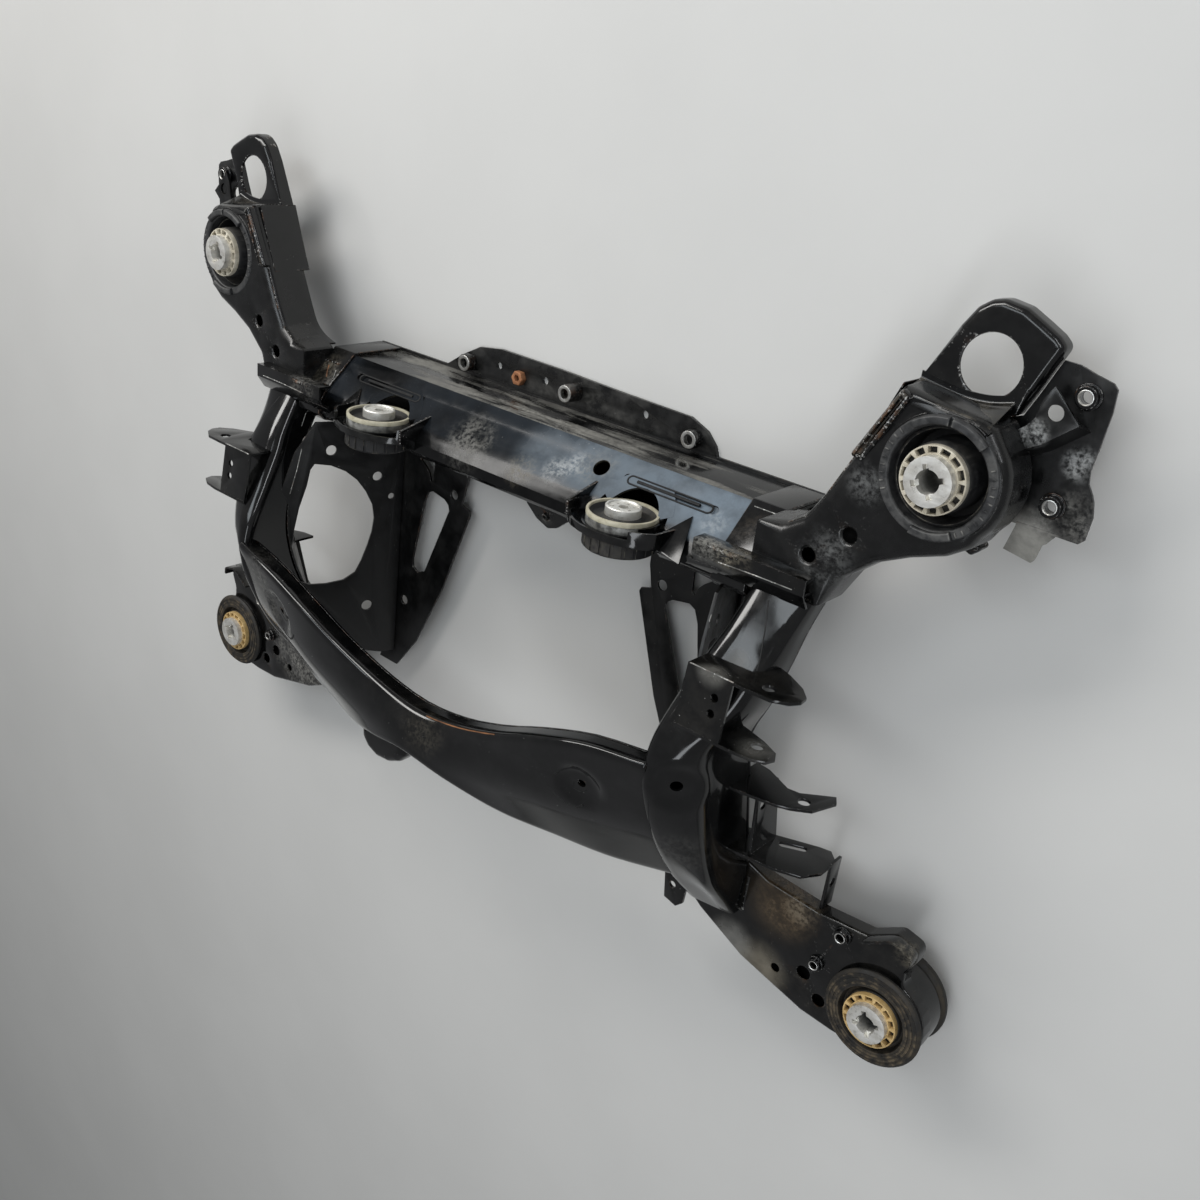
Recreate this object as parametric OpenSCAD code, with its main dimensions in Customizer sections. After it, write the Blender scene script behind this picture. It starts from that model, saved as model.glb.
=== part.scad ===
// Rear subframe of a passenger vehicle: pressed crossmembers and arched side members,
// four body bushes, two axle-drive bushes, link brackets and small fittings.
// Millimetres. +Z is up, +Y is the rear of the vehicle, +X is the right-hand side.

/* [Body bolts] */
// distance between the two rear body bolts
rear_pitch = 940; // [930:1:950]
// distance between the two front body bolts
front_pitch = 1034; // [1024:1:1044]
// distance from the rear body bolts to the front ones
bolt_length = 540; // [534:1:546]

/* [Body bushes] */
// outer diameter of the aluminium bush core
core_d = 40; // [37:0.5:42]
// bore of the bush core for the body bolt
bore_d = 20; // [16:0.5:22]
// outer diameter of the slotted cage ring
cage_d = 55.5; // [53:0.5:58]
// outer diameter of the steel bush can
can_d = 88; // [84:0.5:89]
// diameter of the segmented flange ring on the rear bushes
flange_d = 100; // [96:0.5:102]
// diameter of the rubber discs on the front bushes
disc_d = 102; // [96:0.5:104]
// number of slots round the cage ring
cage_slots = 14; // [10:1:16]

/* [Axle-drive bushes] */
// distance between the two axle-drive bushes
drive_pitch = 354; // [348:1:360]
// outer diameter of the axle-drive bush can
drive_d = 71; // [68:0.5:72]
// length of the axle-drive bush can
drive_len = 36; // [32:0.5:38]
// bore of the axle-drive bush core
drive_bore = 10; // [8:0.5:12]

/* [Sheet metal] */
// wall of the pressed members
sheet = 3; // [2.6:0.1:3.4]
// wall of the brackets and plates
plate = 3; // [2.6:0.1:3.4]

/* [Holes] */
// large hole in each rear horn
horn_hole_d = 50; // [44:0.5:52]
// two holes in each rear arm
arm_hole_d = 19; // [15:0.5:22]
// bolt holes in the upper link brackets
upper_link_d = 12; // [10:0.5:16]
// bolt holes in the lower link brackets
lower_link_d = 12; // [10:0.5:16]
// bore of the three hanger sleeves
sleeve_bore = 11; // [8:0.5:12]

/* [Hidden] */
$fn = 48;
rx = rear_pitch / 2;
dx = rx - 470;
fx = front_pitch / 2;
gx = fx - 517;
fy = -bolt_length;
gy = fy + 540;
arm_z = -11;
arm_low = -51;
horn_z = -48;
end_z = -62;
fa_z = -58;
fa_low = -98;
fa_edge = -76;
beam_low = -128;
beam_x = 321.6;
ax = drive_pitch / 2;
kx = ax - 177;
az = -4;
ay = -121;
tail_y = 136;
nose_y = fy - disc_d / 2;
y_off = -(tail_y + nose_y) / 2;
z_off = -beam_low + plate;
crease = 8;
black = [0.10, 0.105, 0.115];
dark = [0.07, 0.07, 0.075];
silver = [0.78, 0.79, 0.80];
cream = [0.78, 0.70, 0.52];
rubber = [0.05, 0.05, 0.05];
zinc = [0.62, 0.63, 0.64];

// Shifts the work frame (origin midway between the rear bolts) to the row frame.
module placed() { translate([0, y_off, z_off]) children(); }

// Mirrors a right-hand piece to the left.
module left() { mirror([1, 0, 0]) children(); }

// Corner of a polygon moved inwards by d (counter-clockwise polygons).
function unit(v) = v / norm(v);
function inward(a, b) = let(e = unit(b - a)) [-e[1], e[0]];
function corner(a, b, c, d) =
  let(n1 = inward(a, b), n2 = inward(b, c), k = 1 + n1 * n2) b + d * (n1 + n2) / max(k, 0.3);
function inset(p, d) = [for (i = [0:len(p) - 1])
  corner(p[(i + len(p) - 1) % len(p)], p[i], p[(i + 1) % len(p)], d)];
function arc(c, r, a0, a1, n) = [for (i = [0:n]) let(a = a0 + (a1 - a0) * i / n) c + r * [cos(a), sin(a)]];

// Pressed tray: flat top with walls hanging down from its edge.
module tray(p, top, low, t) {
  difference() {
    translate([0, 0, low]) linear_extrude(top - low) polygon(p);
    translate([0, 0, low - 1]) linear_extrude(top - low + 1 - t) polygon(inset(p, t));
  }
}

// Extrudes a profile drawn in Y and Z along X.
module along_x(x0, x1) { translate([x0, 0, 0]) rotate([90, 0, 90]) linear_extrude(x1 - x0) children(); }

// Extrudes a profile drawn in X and Z along Y, from y0 down to y1.
module along_y(y0, y1) { translate([0, y0, 0]) rotate([90, 0, 0]) linear_extrude(y0 - y1) children(); }

// Smooth interpolation of a list of equal-length vectors.
function blend(p0, p1, p2, p3, t) = 0.5 * (2 * p1 + (p2 - p0) * t + (2 * p0 - 5 * p1 + 4 * p2 - p3) * t * t
  + (3 * p1 - p0 - 3 * p2 + p3) * t * t * t);
function smooth(p, n) = concat([for (i = [0:len(p) - 2]) for (k = [0:n - 1])
  blend(p[max(i - 1, 0)], p[i], p[i + 1], p[min(i + 2, len(p) - 1)], k / n)], [p[len(p) - 1]]);

// Pressed arch: each station holds inner crease, top line, outer crease and two wall ends.
function sec_i(s) = [s[0], s[1], s[2]];
function sec_m(s) = [s[3], s[4], s[5]];
function sec_e(s) = [s[6], s[7], s[8]];
function sec_u(s) = unit([s[6] - s[0], s[7] - s[1], 0]);
function outer_line(s, r) = let(i = sec_i(s), m = sec_m(s), e = sec_e(s), u = sec_u(s), w = [0, 0, 1]) [
  [i[0], i[1], s[9]], i - r * w, i + 0.29 * r * (u - w), i + r * unit(m - i), m,
  e + r * unit(m - e), e - 0.29 * r * (u + w), e - r * w, [e[0], e[1], s[10]]];
function inner_line(s, r, t) = let(o = outer_line(s, r), u = sec_u(s), w = [0, 0, 1]) [
  o[0] + t * u, o[1] + t * u, o[2] + 0.71 * t * (u - w), o[3] - t * w, o[4] - t * w,
  o[5] - t * w, o[6] - 0.71 * t * (u + w), o[7] - t * u, o[8] - t * u];
function tilt_drop(s, t) = t * abs(s[9] - s[10]) / norm([s[6] - s[0], s[7] - s[1]]);
function flip(p) = [for (i = [len(p) - 1:-1:0]) p[i]];
function tube_faces(n, m) = [for (i = [0:n - 2]) for (j = [0:m - 1]) for (k = [0, 1])
  let(a = i * m + j, b = i * m + (j + 1) % m) k == 0 ? [a, b, b + m] : [a, b + m, a + m]];
function strip_cap(o, m, turn) = [for (j = [0:m / 2 - 2]) for (k = [0, 1])
  let(a = o + j, b = o + j + 1, c = o + m - 2 - j, d = o + m - 1 - j,
      f = k == 0 ? [a, d, c] : [a, c, b]) turn ? flip(f) : f];

module shell_loft(st, r, t) {
  rings = [for (s = st) concat(outer_line(s, r), flip(inner_line(s, r, t)))];
  n = len(rings);
  m = len(rings[0]);
  polyhedron([for (q = rings) for (p = q) p],
    concat(tube_faces(n, m), strip_cap(0, m, false), strip_cap((n - 1) * m, m, true)));
}

module body_loft(st, r, drop) {
  rings = [for (s = st) let(o = outer_line(s, r), w = [0, 0, drop + tilt_drop(s, sheet)])
    concat([o[0] - w], o, [o[8] - w])];
  n = len(rings);
  m = len(rings[0]);
  polyhedron([for (q = rings) for (p = q) p],
    concat(tube_faces(n, m), [for (j = [1:m - 2]) [5, (6 + j) % m, (5 + j) % m]],
      [for (j = [1:m - 2]) (n - 1) * m * [1, 1, 1] + [5, (5 + j) % m, (6 + j) % m]]));
}

module floor_loft(st, gap, t) {
  rings = [for (s = st) let(w = gap + tilt_drop(s, sheet), a = [s[0], s[1], s[9] - w],
    b = [s[6], s[7], s[10] - w]) [a, b, b - [0, 0, t], a - [0, 0, t]]];
  n = len(rings);
  polyhedron([for (q = rings) for (p = q) p],
    concat(tube_faces(n, 4), strip_cap(0, 4, false), strip_cap((n - 1) * 4, 4, true)));
}

// Profile of the rear beam in Y and Z.
beam = [[-87, beam_low], [-160, beam_low], [-160, -28], [-156.5, -15], [-150, -7.5], [-139, -7.5],
  [-125, -17.5], [-87, -57]];
beam_ccw = flip(beam);
function opened(p) = [for (q = p) q[1] < beam_low + 12 ? [q[0], beam_low - 2] : q];

module beam_body(grow) { along_x(-beam_x, beam_x) polygon(inset(beam_ccw, -grow)); }

module rear_beam() {
  color(black) difference() {
    along_x(-beam_x, beam_x) polygon(beam_ccw);
    along_x(-beam_x - 1, beam_x + 1) polygon(opened(inset(beam_ccw, sheet)));
    for (s = [-1, 1]) {
      along_y(-100, -176) translate([s * ax, az]) circle(drive_d / 2 + 7.5);
      translate([s * 202, -103.5, -41]) rotate([-45, 0, 0]) cube([104, 9, 3], center = true);
      for (e = [-52, 52]) translate([s * 202 + e, -103.5, -41]) rotate([-45, 0, 0])
        cylinder(d = 9, h = 3, center = true);
    }
    translate([116, -103.5, -41]) rotate([-45, 0, 0]) cylinder(d = 18, h = 16, center = true);
  }
}

module rear_beam_floor() {
  color(black) difference() {
    translate([-beam_x, -160, beam_low - plate]) cube([2 * beam_x, 76, plate - 0.1]);
    for (x = [-240, -90, 90, 240]) translate([x, -124, beam_low - plate - 1]) cylinder(d = 26, h = plate + 2);
  }
}

module saddle_r() {
  color(black) difference() {
    along_x(284, beam_x) polygon(inset(beam_ccw, -plate - 0.2));
    along_x(283, beam_x + 1) polygon(inset(beam_ccw, -0.2));
    translate([280, -200, beam_low - 10]) cube([60, 150, 12]);
  }
}

// Rear arm tray with the seat of the body bush.
arm_out = concat(
  [[beam_x + 0.4, -138], [390, -138], [405, -107], [431 + dx / 2, -84], [460 + dx, -69], [488 + dx, -58],
   [505 + dx, -46]],
  arc([rx, 0], 54, -42, 42, 8),
  [[503 + dx, 46], [493 + dx, 50], [459 + dx, 54], [426 + dx, 59], [401 + dx / 2, 5], [378, -44], [364, -68],
   [346, -80], [beam_x + 0.4, -86]]);

module rear_arm_r() {
  color(black) difference() {
    union() {
      tray(arm_out, arm_z, arm_low, sheet);
      translate([0, 0, arm_low]) linear_extrude(sheet) polygon(inset(arm_out, 1));
      translate([rx, 0, -80]) cylinder(d = can_d + 8.4, h = 80 + arm_z);
      translate([0, 0, arm_z]) linear_extrude(5)
        polygon([[395 + dx, -2], [405 + dx, -4], [434 + dx, 55], [426 + dx, 59]]);
    }
    translate([rx, 0, -90]) cylinder(d = can_d + 0.4, h = 100);
    translate([407.5, -69.4, -30]) cylinder(d = arm_hole_d, h = 40);
    translate([373.8, -98.4, -30]) cylinder(d = arm_hole_d, h = 40);
  }
}

// Stepped-down horn behind the bush.
horn_out = [[419, 61.6], [426.5, 59.6], [459, 54.5], [493.3, 50.5], [503, 53], [512, 74], [519, 92], [527, 111],
  [519, 118], [506, 125], [490, 133], [482, 135.4], [472, tail_y], [462, 133.5], [452, 126], [442, 110]];
horn_pts = [for (p = horn_out) p + [dx, 0]];

module horn_r() {
  color(black) difference() {
    tray(horn_pts, horn_z, -66, sheet);
    translate([474.2 + dx, 85.6, -70]) cylinder(d = horn_hole_d, h = 40);
  }
}

end_out = [[498, -31], [571, -32], [575, -28], [576, -9], [573.5, 2], [571, 7.5], [566, 15], [564.4, 25],
  [566, 41], [568, 71], [567, 88], [563, 92], [549, 95.5], [536, 99.5], [523.6, 100.2], [520.2, 91.6],
  [513.2, 73.6], [504.2, 52.4], [494, 48.6]];
end_pts = [for (p = end_out) p + [dx, 0]];

// Raised bracket on the end plate: its top, the line that its sloped wall falls from, and its height.
step_out = [[504.4, 23.9], [527.7, 37.8], [552.2, 59.1], [527.5, 83.1], [521.5, 72.8], [518.6, 56.3],
  [513.9, 49.5], [499.3, 36.8]];
step_line = [[506, 24.9], [527.7, 37.8], [552.2, 59.1]];
step_z = -46;
step_run = 8;
tab_out = [[520.5, 1.5], [520.5, -2.2], [511.6, -30.9], [535.3, -36.5], [538.2, -32.9], [543.1, -14.6],
  [546.6, -11.5], [554, 0], [554, 1.5]];
tab_tilt = 25;

// Sloped wall under the bracket's front edge.
function lean(i) = let(e = unit(step_line[min(i + 1, 2)] - step_line[max(i - 1, 0)])) [e[1], -e[0]];
function at_z(p, z) = [p[0], p[1], z];
module step_wall() {
  rings = [for (i = [0:2]) let(p = step_line[i], m = lean(i)) [
    at_z(p - plate * m, step_z - 0.1), at_z(p + (step_run - plate) * m, end_z - 1),
    at_z(p + step_run * m, end_z - 1), at_z(p, step_z - 0.1)]];
  polyhedron([for (q = rings) for (p = q) p],
    concat(tube_faces(3, 4), strip_cap(0, 4, false), strip_cap(8, 4, true)));
}

module end_plate_r() {
  color(black) difference() {
    union() {
      translate([0, 0, end_z - plate]) linear_extrude(plate) polygon(end_pts);
      translate([dx, 0, step_z - plate]) linear_extrude(plate) polygon(step_out);
      translate([dx, 0, 0]) step_wall();
      translate([dx, -31, end_z]) rotate([tab_tilt, 0, 0]) translate([0, 0, -plate])
        linear_extrude(plate) polygon(flip(tab_out));
    }
    translate([rx, 0, -100]) cylinder(d = can_d + 8.8, h = 120);
    translate([0, 0, arm_low - 0.3]) linear_extrude(60) polygon(inset(arm_out, -0.4));
    translate([532.6 + dx, 64, step_z - 10]) cylinder(d = 13, h = 20);
    translate([527.6 + dx, 58.8, end_z - 10]) cylinder(d = 16, h = 12);
    for (p = end_nut_at) translate([p[0] + dx, p[1], end_z - 10]) cylinder(d = 10.5, h = 20);
  }
}

end_nut_at = [[548.5, 78.7], [545, -8.8]];

module weld_nut(d) {
  difference() {
    union() {
      cylinder(d = 2.1 * d, h = 2.5);
      cylinder(d = 1.75 * d, h = 0.8 * d);
    }
    translate([0, 0, -1]) cylinder(d = d, h = d + 2);
  }
}

module end_nuts_r() {
  color(zinc) for (p = end_nut_at) translate([p[0] + dx, p[1], end_z + 0.1]) weld_nut(10);
}

// Stations of the side member from the rear arm to its foot on the front arm.
arch = [
  [326, -138.4, -5, 354, -138.4, -3, 388, -138.4, -9, -46, -36],
  [320, -177, 23, 363, -176, 20, 382, -172, 3, -20, -22],
  [313, -204, 39, 368, -204, 36, 379, -202, 15, -4, -10],
  [306, -240, 63, 360, -243, 55, 371, -242, 36, 16, -2],
  [301, -280, 86, 338, -284, 76, 353, -286, 56, 28, -8],
  [300.4, -320, 92, 336, -326, 71, 353, -331, 48, 24, -18],
  [300.2, -365, 76, 334, -382, 52, 352, -395, 31, 8, -36],
  [300.2, -415, 48, 332, -432, 28, 353, -452, 11, -22, -52],
  [300.2, -465, 12, 330, -475, -8, 353, -489, -20, -57.7, -57.7],
  [302, -506, -26, 330, -511, -37, 352, -515, -46, -57.7, -57.7]];
function footed(s) = [for (i = [0:10]) i < 9 ? s[i] : max(s[i], -57.7)];
arch_st = [for (s = smooth(arch, 3)) footed(s)];
arch_mid = [for (i = [0:21]) arch_st[i]];

module side_body() { body_loft(arch_st, crease, plate + 0.5); }

module side_member_r() {
  color(black) difference() {
    shell_loft(arch_st, crease, sheet);
    translate([334, -318, 40]) cylinder(d = 12, h = 60);
  }
}

module side_floor_r() { color(black) floor_loft(arch_mid, 0.3, plate); }

// Tilted plate with the drive-shaft window.
side_out = [[-163.6, 0], [-163.6, 112], [-200, 136], [-240, 150], [-280, 160], [-330, 160], [-380, 139],
  [-430, 108], [-470, 60], [-480, 20], [-480, 0]];
side_win = [[-215, 112], [-218, 92], [-226, 74], [-238, 59], [-254, 47], [-272, 38], [-290, 35], [-308, 37],
  [-326, 42], [-346, 49], [-362, 57], [-371, 72], [-374, 94], [-373, 116], [-366, 130], [-350, 137],
  [-326, 139], [-300, 136], [-270, 130], [-242, 121], [-222, 117]];

module tilted() { translate([251, 0, -110.7]) rotate([0, 21, 0]) rotate([90, 0, 90]) children(); }

module side_plate_r() {
  color(dark) difference() {
    tilted() linear_extrude(plate) difference() {
      polygon(flip(side_out));
      polygon(flip(side_win));
      translate([-199, 92]) circle(d = 13);
      translate([-235, 33]) circle(d = 12);
      translate([-262, 14]) circle(d = 8);
      translate([-410, 40]) circle(d = 14);
    }
    side_body();
  }
}

strut_out = [[131, -250], [170, -362], [212, -452], [246, -500], [280, -500], [266, -462],
  [258, -420], [258, -160.4], [140, -160.4], [140, -215], [146, -241], [133, -245]];
strut_win = [[167, -256], [169, -249], [176, -244], [197, -240], [205, -244], [211, -258], [226, -340],
  [225, -350], [216, -355], [204, -350]];
strut_notch = [[197, -203], [222, -205], [212, -212], [205, -219], [202, -229], [198, -226]];

module strut_plate_r() {
  color(dark) translate([0, 0, -112 - plate]) linear_extrude(plate) difference() {
    polygon(strut_out);
    polygon(flip(strut_win));
    polygon(flip(strut_notch));
    translate([160, -233]) circle(d = 12);
    translate([238, -402]) circle(d = 12);
  }
}

web_rear = 65;
web_front = 73;
upper_wall = [[322, 0], [372, 4], [392, 12], [412, 24], [423, 36], [424, 46], [418, 56], [404, 64],
  [380, web_rear], [320, web_rear]];
lower_wall = [[330, 32], [366, 28], [392, 36], [410, 45], [415, 54], [412, 64], [400, 70], [380, web_front],
  [320, web_front]];

module upper_bracket_r() {
  color(black) difference() {
    union() {
      along_y(-200, -200 - plate) polygon(upper_wall);
      along_y(-257, -257 - plate) polygon(lower_wall);
      along_x(320, 368) polygon([[-201, web_rear - plate], [-201, web_rear], [-259, web_front],
        [-259, web_front - plate]]);
    }
    side_body();
    along_y(-190, -270) translate([393, 48]) circle(d = upper_link_d);
    for (y = [-220.4, -235.1]) translate([353.7, y, 50]) cylinder(d = 8, h = 30);
  }
}

hook_y = -335;
slot_y = -412;
hook_wall = [[345, -48], [361, -46], [390, -32], [402, -34], [429, -56], [435, -46], [426, -17], [410, -5],
  [394, 2], [345, 12]];
slot_wall = [[345, -52], [369, -62], [413, -80], [425, -83], [437, -71], [437, -44], [426, -24], [400, -14],
  [345, -6]];
slot_ends = [[386, -55], [404, -64]];

module lower_bracket_r() {
  color(black) difference() {
    union() {
      along_y(hook_y, hook_y - plate) polygon(hook_wall);
      along_y(slot_y, slot_y - plate) polygon(slot_wall);
      along_x(371, 371 + plate)
        polygon([[hook_y - 1, -8], [hook_y - 1, -42], [slot_y - 1, -62], [slot_y - 1, -16]]);
      translate([437 - plate, -465.6, -83]) cube([plate, 54, 19]);
    }
    side_body();
    along_y(hook_y + 5, hook_y - 10) translate([413, -24]) circle(d = lower_link_d);
    along_y(slot_y + 5, slot_y - 10) hull() for (p = slot_ends) translate(p) circle(d = 8);
    translate([360, -357, -22]) rotate([0, 90, 0]) cylinder(d = 12, h = 30);
    translate([425, -438, -73.5]) rotate([0, 90, 0]) cylinder(d = 10, h = 30);
  }
}

module gusset_r() {
  color(black) difference() {
    union() {
      along_x(268 + kx, 386) polygon([[-114, -9], [-114, 8], [-129, 8], [-143, -2], [-143, -2 - plate],
        [-129, 8 - plate], [-114 - plate, 8 - plate], [-114 - plate, -9]]);
      translate([340, -132, arm_z + 0.2]) cube([44, plate, 16]);
      translate([kx, -129, 8]) rotate([35, 0, 0]) translate([0, 0, -plate]) linear_extrude(plate)
        difference() {
          polygon([[260, -10], [258, -19], [249, -26], [253, -34], [264, -37], [280, -30], [292, -18], [300, -10]]);
          translate([262, -25]) circle(d = 9);
        }
    }
    beam_body(plate + 0.4);
    side_body();
    translate([330, -180, -40]) cube([80, 80, 40 + arm_z + 0.2]);
  }
}

// Front beam, station by station from the middle to the right end.
front_half = [
  [0, -384, 86, 0, -410, 98, 0, -434, 100, 66, 62],
  [60, -376, 88, 60, -410, 97, 60, -448, 88, 68, 50],
  [120, -355, 95, 120, -408, 94, 120, -466, 64, 74, 26],
  [180, -328, 101, 180, -402, 88, 180, -472, 42, 79, 6],
  [240, -308, 100, 240, -394, 76, 240, -472, 27, 78, -8],
  [299.4, -301, 93, 299.4, -388, 63, 299.4, -464, 13, 72, -18]];
function other(s) = [-s[0], s[1], s[2], -s[3], s[4], s[5], -s[6], s[7], s[8], s[9], s[10]];
front_all = concat([for (i = [5:-1:1]) other(front_half[i])], front_half);
front_st = flip(smooth(front_all, 3));

module front_beam() { color(black) difference() {
    shell_loft(front_st, crease, sheet);
    for (s = [-1, 1]) translate([s * 205, -392, 60]) cylinder(d = 9, h = 60);
  }
}

module front_beam_floor() { color(black) floor_loft(front_st, 0.3, plate); }

// Front arm tray with the seat of the body bush and its two weld nuts, place and thread.
arm_nut_at = [[467 + gx, -475 + gy, 9], [447, -522, 8]];
front_out = concat(
  [[286, -526], [305, -540], [363, -568], [441 + gx / 2, -588 + gy], [478 + gx, -590 + gy]],
  arc([fx, fy], 49, -100, 45, 10),
  [[548 + gx, -480 + gy], [541 + gx, -448 + gy], [518 + gx, -443 + gy], [490 + gx, -461 + gy],
   [436 + gx / 2, -466], [377, -463], [330, -446], [286, -446]]);

module front_arm_r() {
  color(black) difference() {
    union() {
      tray(front_out, fa_z, fa_edge, sheet);
      translate([0, 0, fa_edge]) linear_extrude(sheet) polygon(inset(front_out, 1));
      translate([fx, fy, fa_low]) cylinder(d = can_d + 8.4, h = fa_z - fa_low);
      translate([gx, gy, fa_z]) linear_extrude(12)
        polygon([[490, -461], [518, -443], [541, -448], [545, -468], [541, -469], [537.5, -452],
          [519, -447.5], [492, -464]]);
    }
    translate([fx, fy, fa_low - 5]) cylinder(d = can_d + 0.4, h = 60);
    translate([436, -542, fa_z - 10]) cylinder(d = 15, h = 30);
    translate([458 + gx / 2, -563 + gy, fa_z - 10]) cylinder(d = 14, h = 30);
    translate([405, -556, fa_z - 10]) cylinder(d = 10, h = 30);
    for (p = arm_nut_at) translate([p[0], p[1], fa_z - 20]) cylinder(d = p[2] + 0.5, h = 30);
  }
}

module arm_nuts_r() {
  color(zinc) for (p = arm_nut_at) translate([p[0], p[1], fa_z + 0.1]) weld_nut(p[2]);
}

module front_tab_r() {
  color(dark) translate([0, 0, fa_z - 4]) linear_extrude(4) difference() {
    polygon([[256, -520], [262, -512], [285.7, -505], [285.7, -523], [284, -548], [276, -556], [260, -552]]);
    translate([268, -532]) circle(d = 8);
  }
}

// Body bushes. The axis runs up through the bolt.
module bush_core(low, top) {
  difference() {
    translate([0, 0, low]) cylinder(d = core_d, h = top - low);
    translate([0, 0, low - 1]) cylinder(d = bore_d, h = top - low + 2);
    for (a = [0:90:270]) rotate([0, 0, a + 20]) translate([bore_d / 2 - 1, -2.5, top - 6]) cube([5, 5, 10]);
  }
}

module bush_cage(low, top) {
  mid_r = (core_d + cage_d) / 4;
  wide = (cage_d - core_d) / 2 - 2.6;
  slit = 4.6 * mid_r / cage_slots;
  difference() {
    translate([0, 0, low]) cylinder(d = cage_d, h = top - low);
    translate([0, 0, low - 1]) cylinder(d = core_d + 0.2, h = top - low + 2);
    for (i = [0:cage_slots - 1]) rotate([0, 0, i * 360 / cage_slots])
      translate([mid_r - wide / 2, -slit / 2, low - 1]) cube([wide, slit, top - low + 2]);
  }
}

module rear_rubber_r() {
  c = core_d / 2 + 0.1;
  g = cage_d / 2;
  w = can_d / 2 - 3.1;
  color(rubber) translate([rx, 0, 0]) rotate_extrude()
    polygon([[c, -72], [w, -72], [w, -18], [w - 3, -16], [w - 5, -40], [g + 2, -40], [g + 1, -8], [g, -6.1],
      [c, -6.1]]);
}

module rear_can_r() {
  a = can_d / 2 - 3;
  color(dark) translate([rx, 0, 0]) difference() {
    rotate_extrude()
      polygon([[a, -76], [can_d / 2, -76], [can_d / 2, arm_z + 0.1], [flange_d / 2, arm_z + 0.1],
        [flange_d / 2, -6], [flange_d / 2 - 2, -4], [a + 2, -4], [a, -6]]);
    for (i = [0:7]) rotate([0, 0, i * 45 + 12]) translate([a - 1, -0.9, -7]) cube([16, 1.8, 10]);
  }
}

module front_rubber_r() {
  c = core_d / 2 + 0.1;
  g = cage_d / 2;
  w = can_d / 2 - 3.1;
  q = disc_d / 2;
  color(rubber) translate([fx, fy, 0]) rotate_extrude()
    polygon([[c, -112], [q - 5, -112], [q, -109], [q, -104], [q - 4, fa_low - 2.1], [w, fa_low - 2.1],
      [w, fa_z + 2.1], [q - 3, fa_z + 2.1], [q, fa_z + 4.5], [q, -51.5], [q - 3, -49], [g + 7, -47.5],
      [g + 5, -56], [g + 2, -56], [g + 1, -52], [g, -51.1], [c, -51.1]]);
}

module front_can_r() {
  a = can_d / 2 - 3;
  color(dark) translate([fx, fy, 0]) rotate_extrude()
    polygon([[a, fa_low - 2], [can_d / 2, fa_low - 2], [can_d / 2, fa_z + 0.1], [can_d / 2 + 4, fa_z + 0.1],
      [can_d / 2 + 4, fa_z + 2], [a, fa_z + 2]]);
}

module rear_core_r() { color(silver) translate([rx, 0, 0]) bush_core(-78, 8.4); }

module rear_cage_r() { color(cream) translate([rx, 0, 0]) bush_cage(-6, 0); }

module front_core_r() { color(silver) translate([fx, fy, 0]) bush_core(beam_low - plate, -38.4); }

module front_cage_r() { color(cream) translate([fx, fy, 0]) bush_cage(-51, -45); }

// Axle-drive bush with its cup. The axis runs along Y.
cup_out = [[-58, -40], [58, -40], [54, 13], [46, 22], [34, 30], [18, 35.5], [0, 37.2], [-18, 35.5], [-34, 30],
  [-46, 22], [-54, 13]];

// Web between the cup's outer end and the beam: three corners from the bush axis, and its upward direction.
cup_web = [[36, -139, 10], [62, -111.5, -25], [79, -145, 11.5]];
web_up = unit([0.115, 0.55, 0.83]);
module cup_plate() {
  polyhedron(concat(cup_web, [for (p = cup_web) p - plate * web_up]),
    [[0, 1, 2], [3, 5, 4], [0, 3, 4], [0, 4, 1], [1, 4, 5], [1, 5, 2], [2, 5, 3], [2, 3, 0]]);
}

module drive_cup_r() {
  color(black) translate([ax, 0, az]) difference() {
    union() {
      along_y(-124, -140) difference() {
        translate([0, 4]) polygon(cup_out);
        translate([0, 4]) polygon(inset(cup_out, plate));
      }
      along_y(-125, -140) circle(drive_d / 2 + 3.2);
      along_y(-137, -140) translate([0, 4]) polygon(cup_out);
      translate([-55.5 - plate / 2, 0, 0]) rotate([90, 0, 90]) linear_extrude(plate)
        polygon([[-112, -30], [-125, -22], [-150, -7], [-140, 17], [-124, 17]]);
      cup_plate();
    }
    translate([-ax, 0, -az]) beam_body(0.2);
    along_y(-100, -176) circle(drive_d / 2 + 0.1);
  }
}

module drive_can_r() {
  r = drive_d / 2;
  color(cream) translate([ax, ay, az]) rotate([90, 0, 0]) rotate_extrude()
    polygon([[r - 3, 0], [r, 0], [r, drive_len], [r - 2, drive_len + 1], [r - 3, drive_len]]);
}

module drive_rubber_r() {
  r = drive_d / 2 - 3.1;
  c = drive_d / 4 + 0.1;
  color(rubber) translate([ax, ay, az]) rotate([90, 0, 0]) rotate_extrude()
    polygon([[c, 3], [c + 4, 7], [r - 3, 7], [r, 2], [r, drive_len - 2], [c, drive_len]]);
}

module drive_core_r() {
  color(silver) translate([ax, ay, az]) rotate([90, 0, 0]) difference() {
    translate([0, 0, -5.3]) cylinder(d = drive_d / 2, h = drive_len + 8);
    translate([0, 0, -7]) cylinder(d = drive_bore, h = drive_len + 12);
  }
}

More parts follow.
